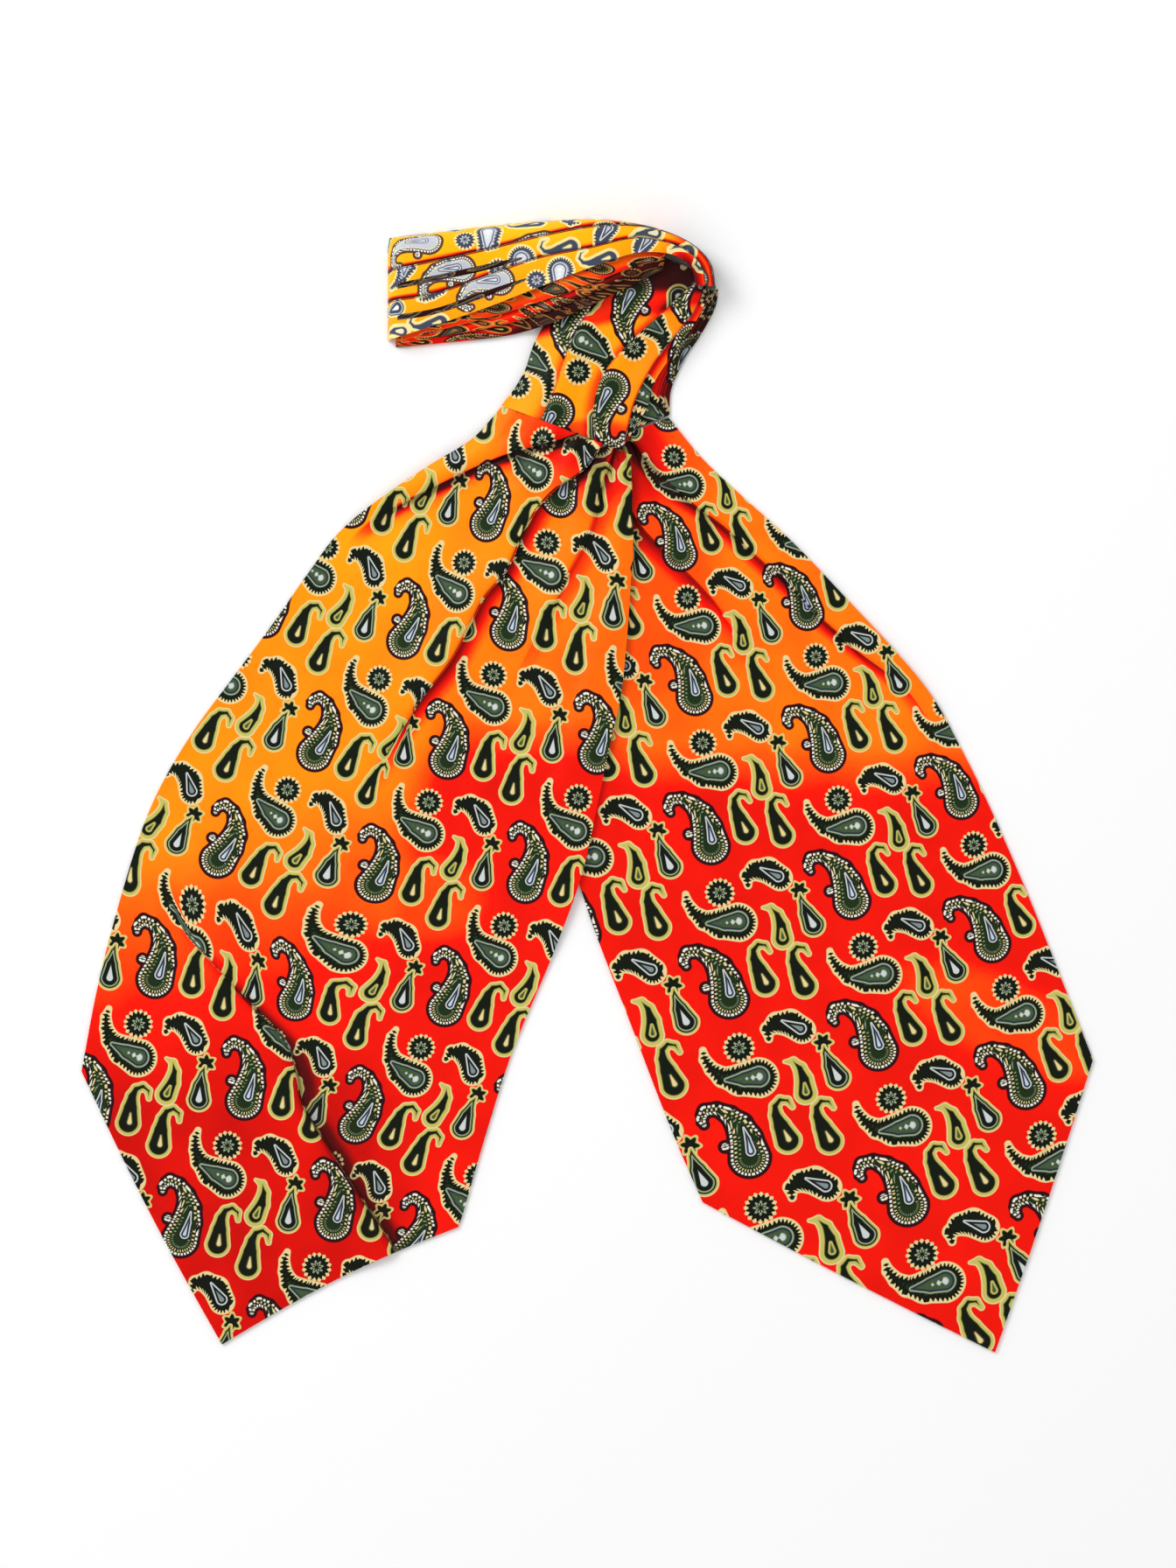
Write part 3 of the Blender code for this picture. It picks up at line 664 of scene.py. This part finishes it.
def printed_silk(name, inks=INKS, shaded_from=0.85):
    """Silk twill in this print, laid by the sheet's own coordinates and coloured by the painted light and
    shade on its vertices; past shaded_from the painted shade darkens the print as well.
    """
    silk = bpy.data.materials.new(name)
    silk.use_nodes = True
    tree = silk.node_tree
    shader = tree.nodes["Principled BSDF"]
    start = Thread(tree)
    cloth = start.node("UVMap", {"uv_map": "cloth"})
    hue = start.node("Attribute", {"attribute_name": "hue"}, out=2)
    streak = start.node("TexNoise", {"noise_dimensions": "2D"},
                        {"Vector": cloth, "Scale": 0.035, "Detail": 2.0})
    # Streaks of random tone over the painted light and shade, which the ramp below turns into the ground
    # colour.
    hue = hue + (streak - 0.5) * 0.16
    ground = start.node("ValToRGB", {"stops": [(spot / DEEPEST, colour) for spot, colour in LIT_TO_SHADED]},
                        {0: hue * (1.0 / DEEPEST)})
    colour = printed(ground, cloth, inks)
    dark = (hue - shaded_from).math("MULTIPLY", 1.6, clamp=True)
    colour = dabbed(colour, dark * 0.8, SHADE)
    tree.links.new(colour.socket, shader.inputs["Base Color"])
    rib = (cloth.dot(0.7071, 0.7071) * (2.0 * math.pi / RIB)).math("SINE")
    slub = start.node("TexNoise", {"noise_dimensions": "2D"},
                      {"Vector": cloth, "Scale": 0.12, "Detail": 3.0})
    bump = start.node("Bump", None, {"Strength": 0.5, "Distance": 0.0004,
                                     "Height": rib * 0.10 + slub * 2.4})
    tree.links.new(bump.socket, shader.inputs["Normal"])
    tree.links.new((slub * 0.16 + 0.34).socket, shader.inputs["Roughness"])
    shader.inputs["Sheen Weight"].default_value = 0.04
    shader.inputs["Sheen Roughness"].default_value = 0.35
    shader.inputs["Specular IOR Level"].default_value = 0.08
    return silk


def back_height(along, out):
    return rolls(BACK_ROLLS, along, out) + gathers(BACK_GATHERS, BACK_WIDTHS, along, out)


def back_seam_shade(along, out):
    # Painted shade: deeper in the gathers at the seam, and on the inner side, where the front blade's edge
    # lies over this blade, fading down the blade.
    gathered = 0.40 * (1.0 - ease(2.0, 30.0, along)) * (1.0 - 0.8 * ease(-2.0, 14.0, out))
    return gathered + 0.14 * ease(-20.0, 0.0, -out) * (1.0 - ease(20.0, 150.0, along))


def back_print(panel, along, out, x, y):
    return on_print(BACK_LIE, x, y)


back_blade = blade_sheet("back_blade_silk", BACK, BACK_WIDTHS, BACK_PLEATS, BACK_COLUMNS, BACK_ROWS,
                         back_print, back_height, back_seam_shade)
thicken(back_blade, SILK)
back_blade.data.materials.append(printed_silk("back_blade_print"))
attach(back_blade, "root")
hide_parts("back_blade")


# ---------------- front blade
# The left-hand blade, cut like the other one. It lies over the back blade and comes down to the table
# past that one's edge. Three pleats open out of its seam; the first rolls over the shoulder, and comes
# back near the hem as a soft trough.

FRONT = dict(root=(-13.2, -1.7), lean=-20.8, side=-1, top=-5.0, tip=(363.0, 2.0),
             outer_hem=(0.90, -2.0), inner_hem=(1.08, 4.0))
FRONT_WIDTHS = [
    (-6, 28.5, 22.5), (10, 34.5, 29.0), (25, 46.0, 35.5), (40, 57.0, 40.0), (60, 69.0, 46.0),
    (80, 75.0, 51.5), (100, 80.0, 54.5), (125, 87.0, 58.5), (150, 94.0, 62.0), (175, 98.4, 62.5),
    (225, 97.0, 61.2), (255, 93.5, 63.0), (286, 88.0, 65.5),
]
FRONT_PLEATS = [
    dict(line=[(-5, -2), (-2, 2), (7, 15), (16, 26), (31, 41), (50, 58), (100, 70), (150, 80), (175, 84),
               (200, 84), (215, 78), (224, 69), (232, 54), (240, 36), (247, 21), (257, 12), (267, 6),
               (281, -12), (292, -27), (306, -46), (315, -54), (363, -58)],
         over=1, fade=30.0, edge=(0.42, 3.4), hue=(0.30, 12.0),
         tuck=[(-5, 9.0), (30, 3.0), (53, -4.0), (200, -4.0), (226, -3.0), (240, 2.0), (363, 4.0)],
         lift=[(-5, 4.2), (30, 4.0), (62, 0.0), (205, 0.0), (228, 1.2), (245, 2.2), (270, 2.6),
               (306, 2.2), (363, 1.9)]),
    dict(line=[(-5, -12), (6, -9), (16, -2), (25, 2), (37, 4), (54, 5.4), (64, 9), (76, 10.5), (91, 12.5),
               (112, 19), (140, 25), (180, 24), (215, 18), (240, 5), (268, -21), (292, -43), (306, -54),
               (363, -61)],
         over=1, fade=24.0, hue=(0.62, 8.0),
         tuck=[(-5, 12.0), (30, 11.0), (60, 8.0), (90, 5.0), (110, 2.0), (125, -3.0), (145, -6.0),
               (363, -6.0)],
         lift=[(-5, 3.2), (90, 3.0), (115, 2.0), (150, 0.0)]),
    dict(line=[(-5, -17), (4, -17), (25, -19), (60, -15), (90, -12), (140, -15), (215, -26), (240, -33),
               (268, -44), (292, -54), (306, -59), (363, -63)],
         over=1, fade=12.0, hue=(0.30, 8.0),
         tuck=[(-5, 5.0), (40, 2.5), (65, -3.0), (90, -4.0), (363, -4.0)],
         lift=[(-5, 2.0), (50, 1.6), (95, 0.0)]),
]
FRONT_ROLLS = [
    ([(2, -24), (30, -31), (75, -38), (130, -44)], 1.6, 5.0, 12.0, -1),
    ([(195, 70), (240, 56), (275, 44)], 1.8, 18.0, 24.0, -1),
]
LEFT_LIE = lie((-109.0, -117.5), -49.5, (0.955, 0.955), swing=(4.0, 1.0))
MIDDLE_LIE = lie((-29.5, -167.0), -40.0, (0.98, 0.98), boteh=(2, 1), swing=(0.0, 4.5))
HEM_LIE = lie((-135.5, -248.5), -34.0, (1.01, 1.01), boteh=(1, -2))
# Where down the blade the main pleat opens out, where the left side's print turns to the hem's, and
# where the panels past that pleat share one print; then how far to each side of it two prints blend.
OPENS = (125.0, 165.0)
TURNS_TO_HEM = (194.0, 226.0)
RUNS_TOGETHER = (196.0, 238.0)
BLEND = 22.0
FRONT_GATHERS = dict(count=6, height=1.5, reach=42.0)
FRONT_COLUMNS = (26, 36, 24, 18)
FRONT_ROWS = 216
DRAPE = 26.0                  # how far past the back blade's edge this one reaches the table
DRAPE_LEVEL = 3.0
CLEAR_WITHIN = 5.0            # it rides over whatever is below within this distance
ROOT_LIFT = 3.9               # height of its underside at the seam, and how far down that has gone
ROOT_REACH = 45.0
EDGE_DRAPE = 0.22             # part of the neckband's width that falls to the table at its left edge


def front_height(along, out):
    x, y = on_table(FRONT, along, out)
    back_along, back_out = on_blade(BACK, x, y)
    below = relief(BACK_PLEATS, BACK_ROLLS, BACK_GATHERS, BACK_WIDTHS, back_along, back_out)
    for turn in range(8):
        angle = turn * math.pi / 4.0
        near = on_blade(BACK, x + CLEAR_WITHIN * math.cos(angle), y + CLEAR_WITHIN * math.sin(angle))
        below = np.maximum(below, relief(BACK_PLEATS, BACK_ROLLS, BACK_GATHERS, BACK_WIDTHS, *near))
    _, back_inner = widths(BACK_WIDTHS, back_along)
    over_back = ease(-DRAPE, -DRAPE_LEVEL, back_out + back_inner) * (below + WALL + GAP)
    outer, inner = widths(FRONT_WIDTHS, along)
    across = (outer - out) / (outer + inner)
    root = ROOT_LIFT * ease(0.0, 1.6 * EDGE_DRAPE, across) * (1.0 - ease(0.0, ROOT_REACH, along))
    return (np.maximum(over_back, root) + rolls(FRONT_ROLLS, along, out)
            + gathers(FRONT_GATHERS, FRONT_WIDTHS, along, out))


def front_seam_shade(along, out):
    # Painted shade: deeper in the gathers on the inner side at the seam, and a painted shadow in a narrow
    # band just inside the shoulder pleat's crease, near the seam.
    gathered = 0.34 * (1.0 - ease(2.0, 26.0, along)) * ease(-36.0, -4.0, -out)
    under_shoulder = crease(FRONT_PLEATS[0], along) - out
    band = ease(-1.0, 0.5, under_shoulder) * (1.0 - ease(2.5, 6.5, under_shoulder))
    return gathered + 0.60 * band * (1.0 - ease(46.0, 66.0, along))


def front_print(panel, along, out, x, y):
    """The main pleat parts the left side from the middle, until it has opened out and they run together."""
    left = on_print(LEFT_LIE, x, y)
    middle = on_print(MIDDLE_LIE, x, y)
    low = on_print(HEM_LIE, x, y)
    if panel == 0:
        share = ease(*TURNS_TO_HEM, along)
        return [a + share * (b - a) for a, b in zip(left, low)]
    opened = ease(*OPENS, along)
    past = crease(FRONT_PLEATS[1], along) - out
    share = opened * ease(-BLEND, BLEND, past) + (1.0 - opened) * (panel > 1)
    share = np.maximum(share, ease(*RUNS_TOGETHER, along))
    return [a + share * (b - a) for a, b in zip(left, middle)]


front_blade = blade_sheet("front_blade_silk", FRONT, FRONT_WIDTHS, FRONT_PLEATS, FRONT_COLUMNS, FRONT_ROWS,
                          front_print, front_height, front_seam_shade)
thicken(front_blade, SILK)
front_blade.data.materials.append(printed_silk("front_blade_print"))
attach(front_blade, "root")
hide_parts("front_blade")


# ---------------- neckband, the rise
# The stretch of the strip that climbs from the front blade's seam into the turn. Three knife pleats
# run up it. Its left edge comes down to the table and its top goes in under the stretch above.

# near_x, near_y, far_x, far_y: the strip's left and right edges; then its height and its sag.
RISE = [
    (-38.6, 13.6, 16.5, 12.9, 3.9, 16.4), (-33.5, 20.3, 19.0, 22.0, 3.9, 9.0),
    (-29.5, 27.5, 25.0, 31.5, 3.9, 4.5), (-26.0, 37.5, 31.0, 39.5, 4.2, 2.0),
    (-19.5, 48.0, 36.0, 47.5, 4.9, 1.0), (-8.0, 58.5, 38.2, 53.0, 5.8, 0.0),
    (4.0, 66.0, 38.4, 58.0, 6.2, 0.0), (14.0, 72.5, 38.2, 62.5, 6.4, 0.0),
]
# at: where each crease is, as a part of the width, row by row; tuck and lift go by row too; the last pair:
# how deep the painted shade beside each crease is, and how far it reaches.
RISE_PLEATS = [
    dict(at=(0.27, 0.267, 0.245, 0.24, 0.23, 0.22, 0.21, 0.20), over=-1, fade=11.0,
         tuck=(8, 8, 7, 5, 1, -2, -2, -2), lift=(1.6, 1.7, 1.7, 1.3, 0.6, 0, 0, 0), hue=(0.34, 4.0)),
    dict(at=(0.63, 0.57, 0.555, 0.63, 0.72, 0.78, 0.85, 0.88), over=-1, fade=14.0,
         tuck=(9, 10, 10, 9, 7, 4, 2, 1), lift=(1.6, 1.9, 1.9, 1.9, 1.9, 1.7, 1.4, 1.0), hue=(0.40, 5.0)),
    dict(at=(0.84, 0.86, 0.874, 0.91, 0.946, 0.96, 0.97, 0.97), over=1, fade=10.0,
         tuck=(6, 6, 6, 5, 3, 2, 1, 1), lift=(1.2, 1.6, 1.7, 1.6, 1.3, 1.0, 0.6, 0.4), hue=(0.55, 7.0)),
]
RISE_LIES = [lie(at, 138.0, (0.97, 0.97)) for at in ((-40.5, 6.0), (-18.0, 11.0), (3.0, 20.0), (33.0, 38.0))]
RISE_COLUMNS = (14, 18, 14, 9)
RISE_ROWS = 112
BAND_SILK = 0.45
BAND_TOPS = 1.05              # how far the shell's underside lies above the solid's
SAG_AT = 0.82                 # where across the band its seam with the blades hangs lowest


def band_sheet(name, table, pleats, lies, panel_steps, rows, place_band):
    """A pleated stretch of the neckband.

    place_band(run, row, low, lift, x, y) gives z, the painted light and shade, and where x and y would be,
    unrolled."""
    number, part, folded = pleated_columns(panel_steps)
    at_row = np.arange(len(table))
    overs = [pleat["over"] for pleat in pleats]

    def place(column, row):
        columns = (number[column], part[column], folded[column])
        step = row * (len(table) - 1)
        near_x, near_y, far_x, far_y, low, sag = (through(step, at_row, line) for line in zip(*table))
        width = np.hypot(far_x - near_x, far_y - near_y)
        creases = [through(step, at_row, pleat["at"]) * width for pleat in pleats]
        tucks = [through(step, at_row, pleat["tuck"]) for pleat in pleats]
        lifts = [through(step, at_row, pleat["lift"]) for pleat in pleats]
        across = lay_columns(columns, 0.0 * width, width, creases, tucks, overs)
        lift = pleat_rise(columns, across, creases, tucks, lifts, pleats, BAND_SILK)
        shade = pleat_shade(columns, across, creases, lifts, pleats)
        run = across / width
        bow = np.where(run < SAG_AT, run / SAG_AT, (1.0 - run) / (1.0 - SAG_AT))
        x = near_x + run * (far_x - near_x)
        y = near_y + run * (far_y - near_y) - sag * bow
        z, hue, flat_x, flat_y = place_band(run, row, low, lift, x, y)
        u, v = print_on_columns(columns, lambda panel: on_print(lies[panel], flat_x, flat_y))
        return x, y, z, u, v, hue + shade

    return silk_sheet(name, len(part) - 1, rows, place)


def place_rise(run, row, low, lift, x, y):
    z = 0.5 + (low - 0.5) * ease(0.0, EDGE_DRAPE, run) + BAND_TOPS + lift
    # Painted shade: deeper towards the right edge, deep where the rise climbs into the turn and goes in
    # under the return, and two redder patches low on the rise.
    hue = 0.20 + 0.14 * ease(0.5, 1.0, run) + 0.50 * ease(42.5, 46.0, y - 0.2 * x)
    hollow = y - np.minimum(56.0 + 0.6 * x, 57.0)
    hue = hue + 0.55 * ease(-3.0, 2.0, hollow)
    hue = hue + 0.38 * patch(x, y, (-6.0, 2.0), (24.0, 8.0)) + 0.3 * patch(x, y, (20.0, 9.0), (12.0, 12.0))
    return z, hue, x, y


rise = band_sheet("neckband_rise", RISE, RISE_PLEATS, RISE_LIES, RISE_COLUMNS, RISE_ROWS, place_rise)
thicken(rise, BAND_SILK)
rise.data.materials.append(printed_silk("rise_print"))
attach(rise, "root")
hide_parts("neckband_front")


# ---------------- neckband, the return
# The stretch that crosses over the top, from the soft turn at the right to the fold at the left end.
# It shows three stripes, each lapping over the one above it.

RETURN = [
    (-81.0, 76.5, -81.0, 38.0, 5.6, 0.0), (-62.7, 78.6, -62.7, 43.8, 5.6, 0.0),
    (-42.9, 81.0, -42.9, 50.6, 5.8, 0.0), (-23.1, 82.8, -23.1, 58.1, 9.0, 0.0),
    (-3.3, 83.4, -3.3, 65.3, 13.0, 0.0), (13.2, 81.4, 11.6, 70.0, 13.6, 0.0),
    (26.0, 77.5, 23.5, 70.0, 13.4, 0.0), (34.8, 72.6, 29.8, 67.4, 12.6, 0.0),
    (40.2, 66.4, 33.3, 63.4, 11.4, 0.0), (41.8, 57.9, 34.6, 58.2, 10.0, 0.0),
]
# Laid out as the rise's pleats; each crease's painted shade here is deep and narrow.
RETURN_PLEATS = [
    dict(at=(0.32, 0.305, 0.287, 0.24, 0.18, 0.12, 0.10, 0.10, 0.10, 0.10), over=-1, fade=9.0,
         tuck=(8, 8, 8, 7, 6, 3, 1, 1, 1, 1), lift=(1.5, 1.6, 1.6, 1.5, 1.4, 1.3, 1.0, 0.6, 0.5, 0.5),
         hue=(1.50, 1.9)),
    dict(at=(0.62, 0.66, 0.61, 0.56, 0.60, 0.50, 0.50, 0.50, 0.50, 0.50), over=-1, fade=9.0,
         tuck=(8, 8, 8, 7, 5, 3, 1, 1, 1, 1), lift=(1.5, 1.6, 1.6, 1.5, 1.4, 1.3, 1.0, 0.6, 0.5, 0.5),
         hue=(1.50, 1.9)),
]
RETURN_LIES = [lie(at, 78.0, (0.77, 0.75)) for at in ((-66.0, 75.5), (-53.5, 64.5), (-39.0, 60.0))]
RETURN_COLUMNS = (18, 16, 16)
RETURN_ROWS = 190
ROUND_OVER = 0.15             # part of the width that curves down at the outer edge
LEFT_FOLD = 5.5               # how far in from the left fold it curves down


def place_return(run, row, low, lift, x, y):
    side = np.sqrt(1.0 - (1.0 - np.clip(run / ROUND_OVER, 0.0, 1.0)) ** 2)
    fold = np.sqrt(1.0 - (1.0 - np.clip((x - RETURN[0][0]) / LEFT_FOLD, 0.0, 1.0)) ** 2)
    full = low + BAND_TOPS + lift * side
    turned = ease(6.0, 40.0, x)
    flat_x = x + full * ((1.0 - side) * turned - (1.0 - fold))
    flat_y = y + full * (1.0 - side) * (1.0 - turned)
    # Painted shade: deeper towards the lower edge, deep red round the turn at the right, and darkest along
    # the turn's outer edge.
    turn_shade = ease(20.0, 32.0, x)
    hue = 0.04 + 0.14 * ease(0.3, 1.0, run) + turn_shade * (0.50 + 0.35 * ease(0.45, 0.95, run))
    hue = hue + 0.75 * ease(26.0, 38.0, x) * (1.0 - ease(0.0, 0.26, run))
    return full * side * fold, hue, flat_x, flat_y


over_top = band_sheet("neckband_return", RETURN, RETURN_PLEATS, RETURN_LIES, RETURN_COLUMNS, RETURN_ROWS,
                      place_return)
thicken(over_top, BAND_SILK)
over_top.data.materials.append(printed_silk("return_print", RAKED, 0.65))
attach(over_top, "root")
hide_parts("neckband_top")


# ---------------- neckband, the layers inside
# The strip's other folded layers, pressed into one soft stack under the return. Their folded edges
# show below it, one beyond the other, in the shade.

# plain_x, plain_y, layered_x, layered_y: the stack's hidden and showing edges; low and high: its
# underside and top; plain_low: its underside past the hump; step: how far each layer shows.
INNER = [
    (-78.4, 72.4, -78.4, 35.6, 0.0, 2.8, 0.0, 12.0, 0.9),
    (-74.0, 74.2, -74.0, 35.8, 0.0, 5.0, 0.0, 12.0, 1.3),
    (-62.7, 75.6, -62.7, 37.0, 0.0, 5.2, 0.0, 12.0, 2.3),
    (-42.9, 77.6, -42.9, 39.0, 0.0, 5.3, 0.0, 12.0, 3.8),
    (-30.0, 78.8, -31.5, 41.0, 0.0, 6.0, 0.0, 12.0, 4.6),
    (-15.0, 79.6, -18.5, 44.8, 6.6, 10.2, 0.0, 14.0, 4.8),
    (0.0, 79.6, -6.0, 50.2, 9.5, 12.5, 0.0, 16.5, 4.5),
    (13.0, 77.4, 9.5, 57.8, 9.8, 13.0, 4.0, 15.0, 3.6),
    (24.0, 73.2, 22.0, 64.0, 9.9, 12.8, 9.0, 6.0, 1.8),
]
INNER_ROWS = 150
LAYERS = 3
NOSE = 0.8                    # how far a layer's folded edge bulges
CLEFT = 2.2                   # how far in the gap between two layers goes
PLAIN_ROUND = 3.2


def stack_ring(width, low, high, plain_low, hump, step):
    """A closed section through a stack: for each corner (from the hidden edge, height, painted shade)."""
    thick = (high - low) / LAYERS
    # Painted shade: each layer deeper than the one above it, lightest at the tip of its folded edge and
    # deeper where that edge curls back, and deepest in the clefts between layers.
    corners = []
    for layer in range(LAYERS):
        edge = width - step * layer
        base = low + thick * layer
        for turn in range(7):
            angle = math.pi * (turn / 6.0 - 0.5)
            corners.append((edge - NOSE + NOSE * math.cos(angle),
                         base + thick * (0.5 + 0.46 * math.sin(angle)),
                         0.74 - 0.10 * layer + 0.22 * (1.0 - math.cos(angle))))
        corners.append((edge - 0.5 * (NOSE + step), base + 0.97 * thick, 0.78 - 0.10 * layer))
        if layer < LAYERS - 1:
            corners.append((edge - step - CLEFT * 0.4, base + 0.99 * thick, 1.2))
    middle = 0.5 * (plain_low + high)
    half = 0.5 * (high - plain_low)
    for turn in range(9):
        angle = math.pi * (0.5 + turn / 8.0)
        corners.append((PLAIN_ROUND * (1.0 + math.cos(angle)), middle + half * math.sin(angle), 0.6))
    drop = np.minimum(2.0, 0.3 * hump)
    corners.append((width - hump - drop, plain_low, 0.9))
    corners.append((width - hump, low, 0.9))
    return corners


def stack(name, table, lie, rows, shade_at):
    """A closed soft stack, made from a grid wrapped round its section and stopped at both ends."""
    at_row = np.arange(len(table))
    sides = len(stack_ring(*(np.ones(1),) * 6))

    def place(column, row):
        step = row * (len(table) - 1)
        plain_x, plain_y, layered_x, layered_y, low, high, plain_low, hump, shows = (
            through(step, at_row, line) for line in zip(*table))
        low = np.maximum(low, 0.0)
        plain_low = np.clip(plain_low, 0.0, low)
        width = np.hypot(layered_x - plain_x, layered_y - plain_y)
        section = stack_ring(width, low, high, plain_low, hump, shows)
        vertices = np.arange(len(width))
        across, z, hue = (np.stack([corner[i] + 0.0 * width for corner in section])[column % sides, vertices]
                          for i in range(3))
        run = across / width
        x = plain_x + run * (layered_x - plain_x)
        y = plain_y + run * (layered_y - plain_y)
        u, v = on_print(lie, x, y + 1.5 * z)
        return x, y, z, u, v, hue + shade_at(x, y)

    piece = silk_sheet(name, sides, rows, place)
    bpy.ops.object.mode_set(mode="EDIT")
    bpy.ops.mesh.select_all(action="SELECT")
    bpy.ops.mesh.remove_doubles(threshold=0.000002)
    bpy.ops.mesh.select_all(action="SELECT")
    bpy.ops.mesh.fill_holes(sides=0)
    bpy.ops.mesh.select_all(action="SELECT")
    bpy.ops.mesh.normals_make_consistent(inside=False)
    bpy.ops.object.mode_set(mode="OBJECT")
    bpy.ops.object.shade_smooth_by_angle(angle=math.radians(50.0))
    return piece


EDGE_ON = lie((-40.0, 58.0), 48.0, (0.75, 0.30))


def inner_shade(x, y):
    return 0.62 * ease(62.0, 57.0, y - 0.45 * x) * ease(-46.0, -22.0, x) - 0.06


inner = stack("neckband_layers", INNER, EDGE_ON, INNER_ROWS, inner_shade)
inner.data.materials.append(printed_silk("inner_print", LAYERED))
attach(inner, "root")
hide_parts("neckband_inner")


# ---------------- neckband, the layers at the back
# The rest of the strip, under the rise: folded layers pressed into one stack that comes out at the
# right of the turn and runs down to the back blade's seam.

BACK_LAYERS = [
    (-8.8, -3.0, 24.7, 10.1, 0.0, 3.3, 0.0, 12.0, 2.1),
    (-19.0, 12.0, 25.5, 20.0, 0.0, 3.4, 0.0, 12.0, 2.1),
    (-21.0, 26.0, 30.5, 31.0, 0.0, 3.4, 0.0, 12.0, 2.1),
    (-17.0, 38.0, 37.0, 41.0, 0.0, 3.7, 0.0, 12.0, 2.1),
    (-9.0, 49.0, 42.0, 50.5, 0.0, 4.4, 0.0, 12.0, 1.9),
    (2.0, 58.0, 43.2, 57.4, 0.0, 5.3, 0.0, 12.0, 1.7),
]
BACK_LAYER_ROWS = 110


def back_shade(x, y):
    return 0.25 + 0.25 * ease(30.0, 45.0, y)


back_stack = stack("neckband_back_layers", BACK_LAYERS, RISE_LIES[3], BACK_LAYER_ROWS, back_shade)
back_stack.data.materials.append(printed_silk("back_layers_print"))
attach(back_stack, "root")
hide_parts("neckband_back")


# ---------------- table, light and camera
# A plain pale table top under a large soft light from the upper left, with a paler fill all round.

TABLE_DROP = 0.0003           # how far the table top is below the cloth's lowest point
bpy.ops.object.select_all(action="DESELECT")
bpy.ops.mesh.primitive_plane_add(size=4.0, location=(0.0, 0.0, 0.0))
table = bpy.context.object
table.name = "table"
for vertex in table.data.vertices:
    vertex.co.z = -TABLE_DROP
paint = bpy.data.materials.new("white_table")
paint.use_nodes = True
shader = paint.node_tree.nodes["Principled BSDF"]
shader.inputs["Base Color"].default_value = (0.92, 0.92, 0.92, 1.0)
shader.inputs["Roughness"].default_value = 0.9
table.data.materials.append(paint)

world = bpy.data.worlds.new("studio")
world.use_nodes = True
world.node_tree.nodes["Background"].inputs["Color"].default_value = (1.0, 1.0, 1.0, 1.0)
world.node_tree.nodes["Background"].inputs["Strength"].default_value = 0.82
bpy.context.scene.world = world

KEY_FROM = (-1.1, 1.0, 1.25)
KEY_SIZE = 0.9
KEY_POWER = 18.0
lamp = bpy.data.lights.new("key", "AREA")
lamp.shape = "SQUARE"
lamp.size = KEY_SIZE
lamp.energy = KEY_POWER
key = bpy.data.objects.new("key", lamp)
key.location = KEY_FROM
aim = -np.array(KEY_FROM)
key.rotation_euler = (math.atan2(math.hypot(aim[0], aim[1]), -aim[2]), 0.0,
                      math.atan2(aim[1], aim[0]) - math.pi / 2.0)
bpy.context.scene.collection.objects.link(key)

FRAME_HEIGHT = 0.5914         # how much of the table the upright picture takes in
CAMERA_HEIGHT = 2.4
CAMERA_OVER = (0.0003, 0.0002)
lens = bpy.data.cameras.new("overhead")
lens.sensor_fit = "VERTICAL"
lens.sensor_height = 24.0
lens.lens = 24.0 * CAMERA_HEIGHT / FRAME_HEIGHT
lens.clip_end = 20.0
camera = bpy.data.objects.new("overhead", lens)
camera.location = (*CAMERA_OVER, CAMERA_HEIGHT)
bpy.context.scene.collection.objects.link(camera)
bpy.context.scene.camera = camera
bpy.context.scene.view_settings.view_transform = "Standard"
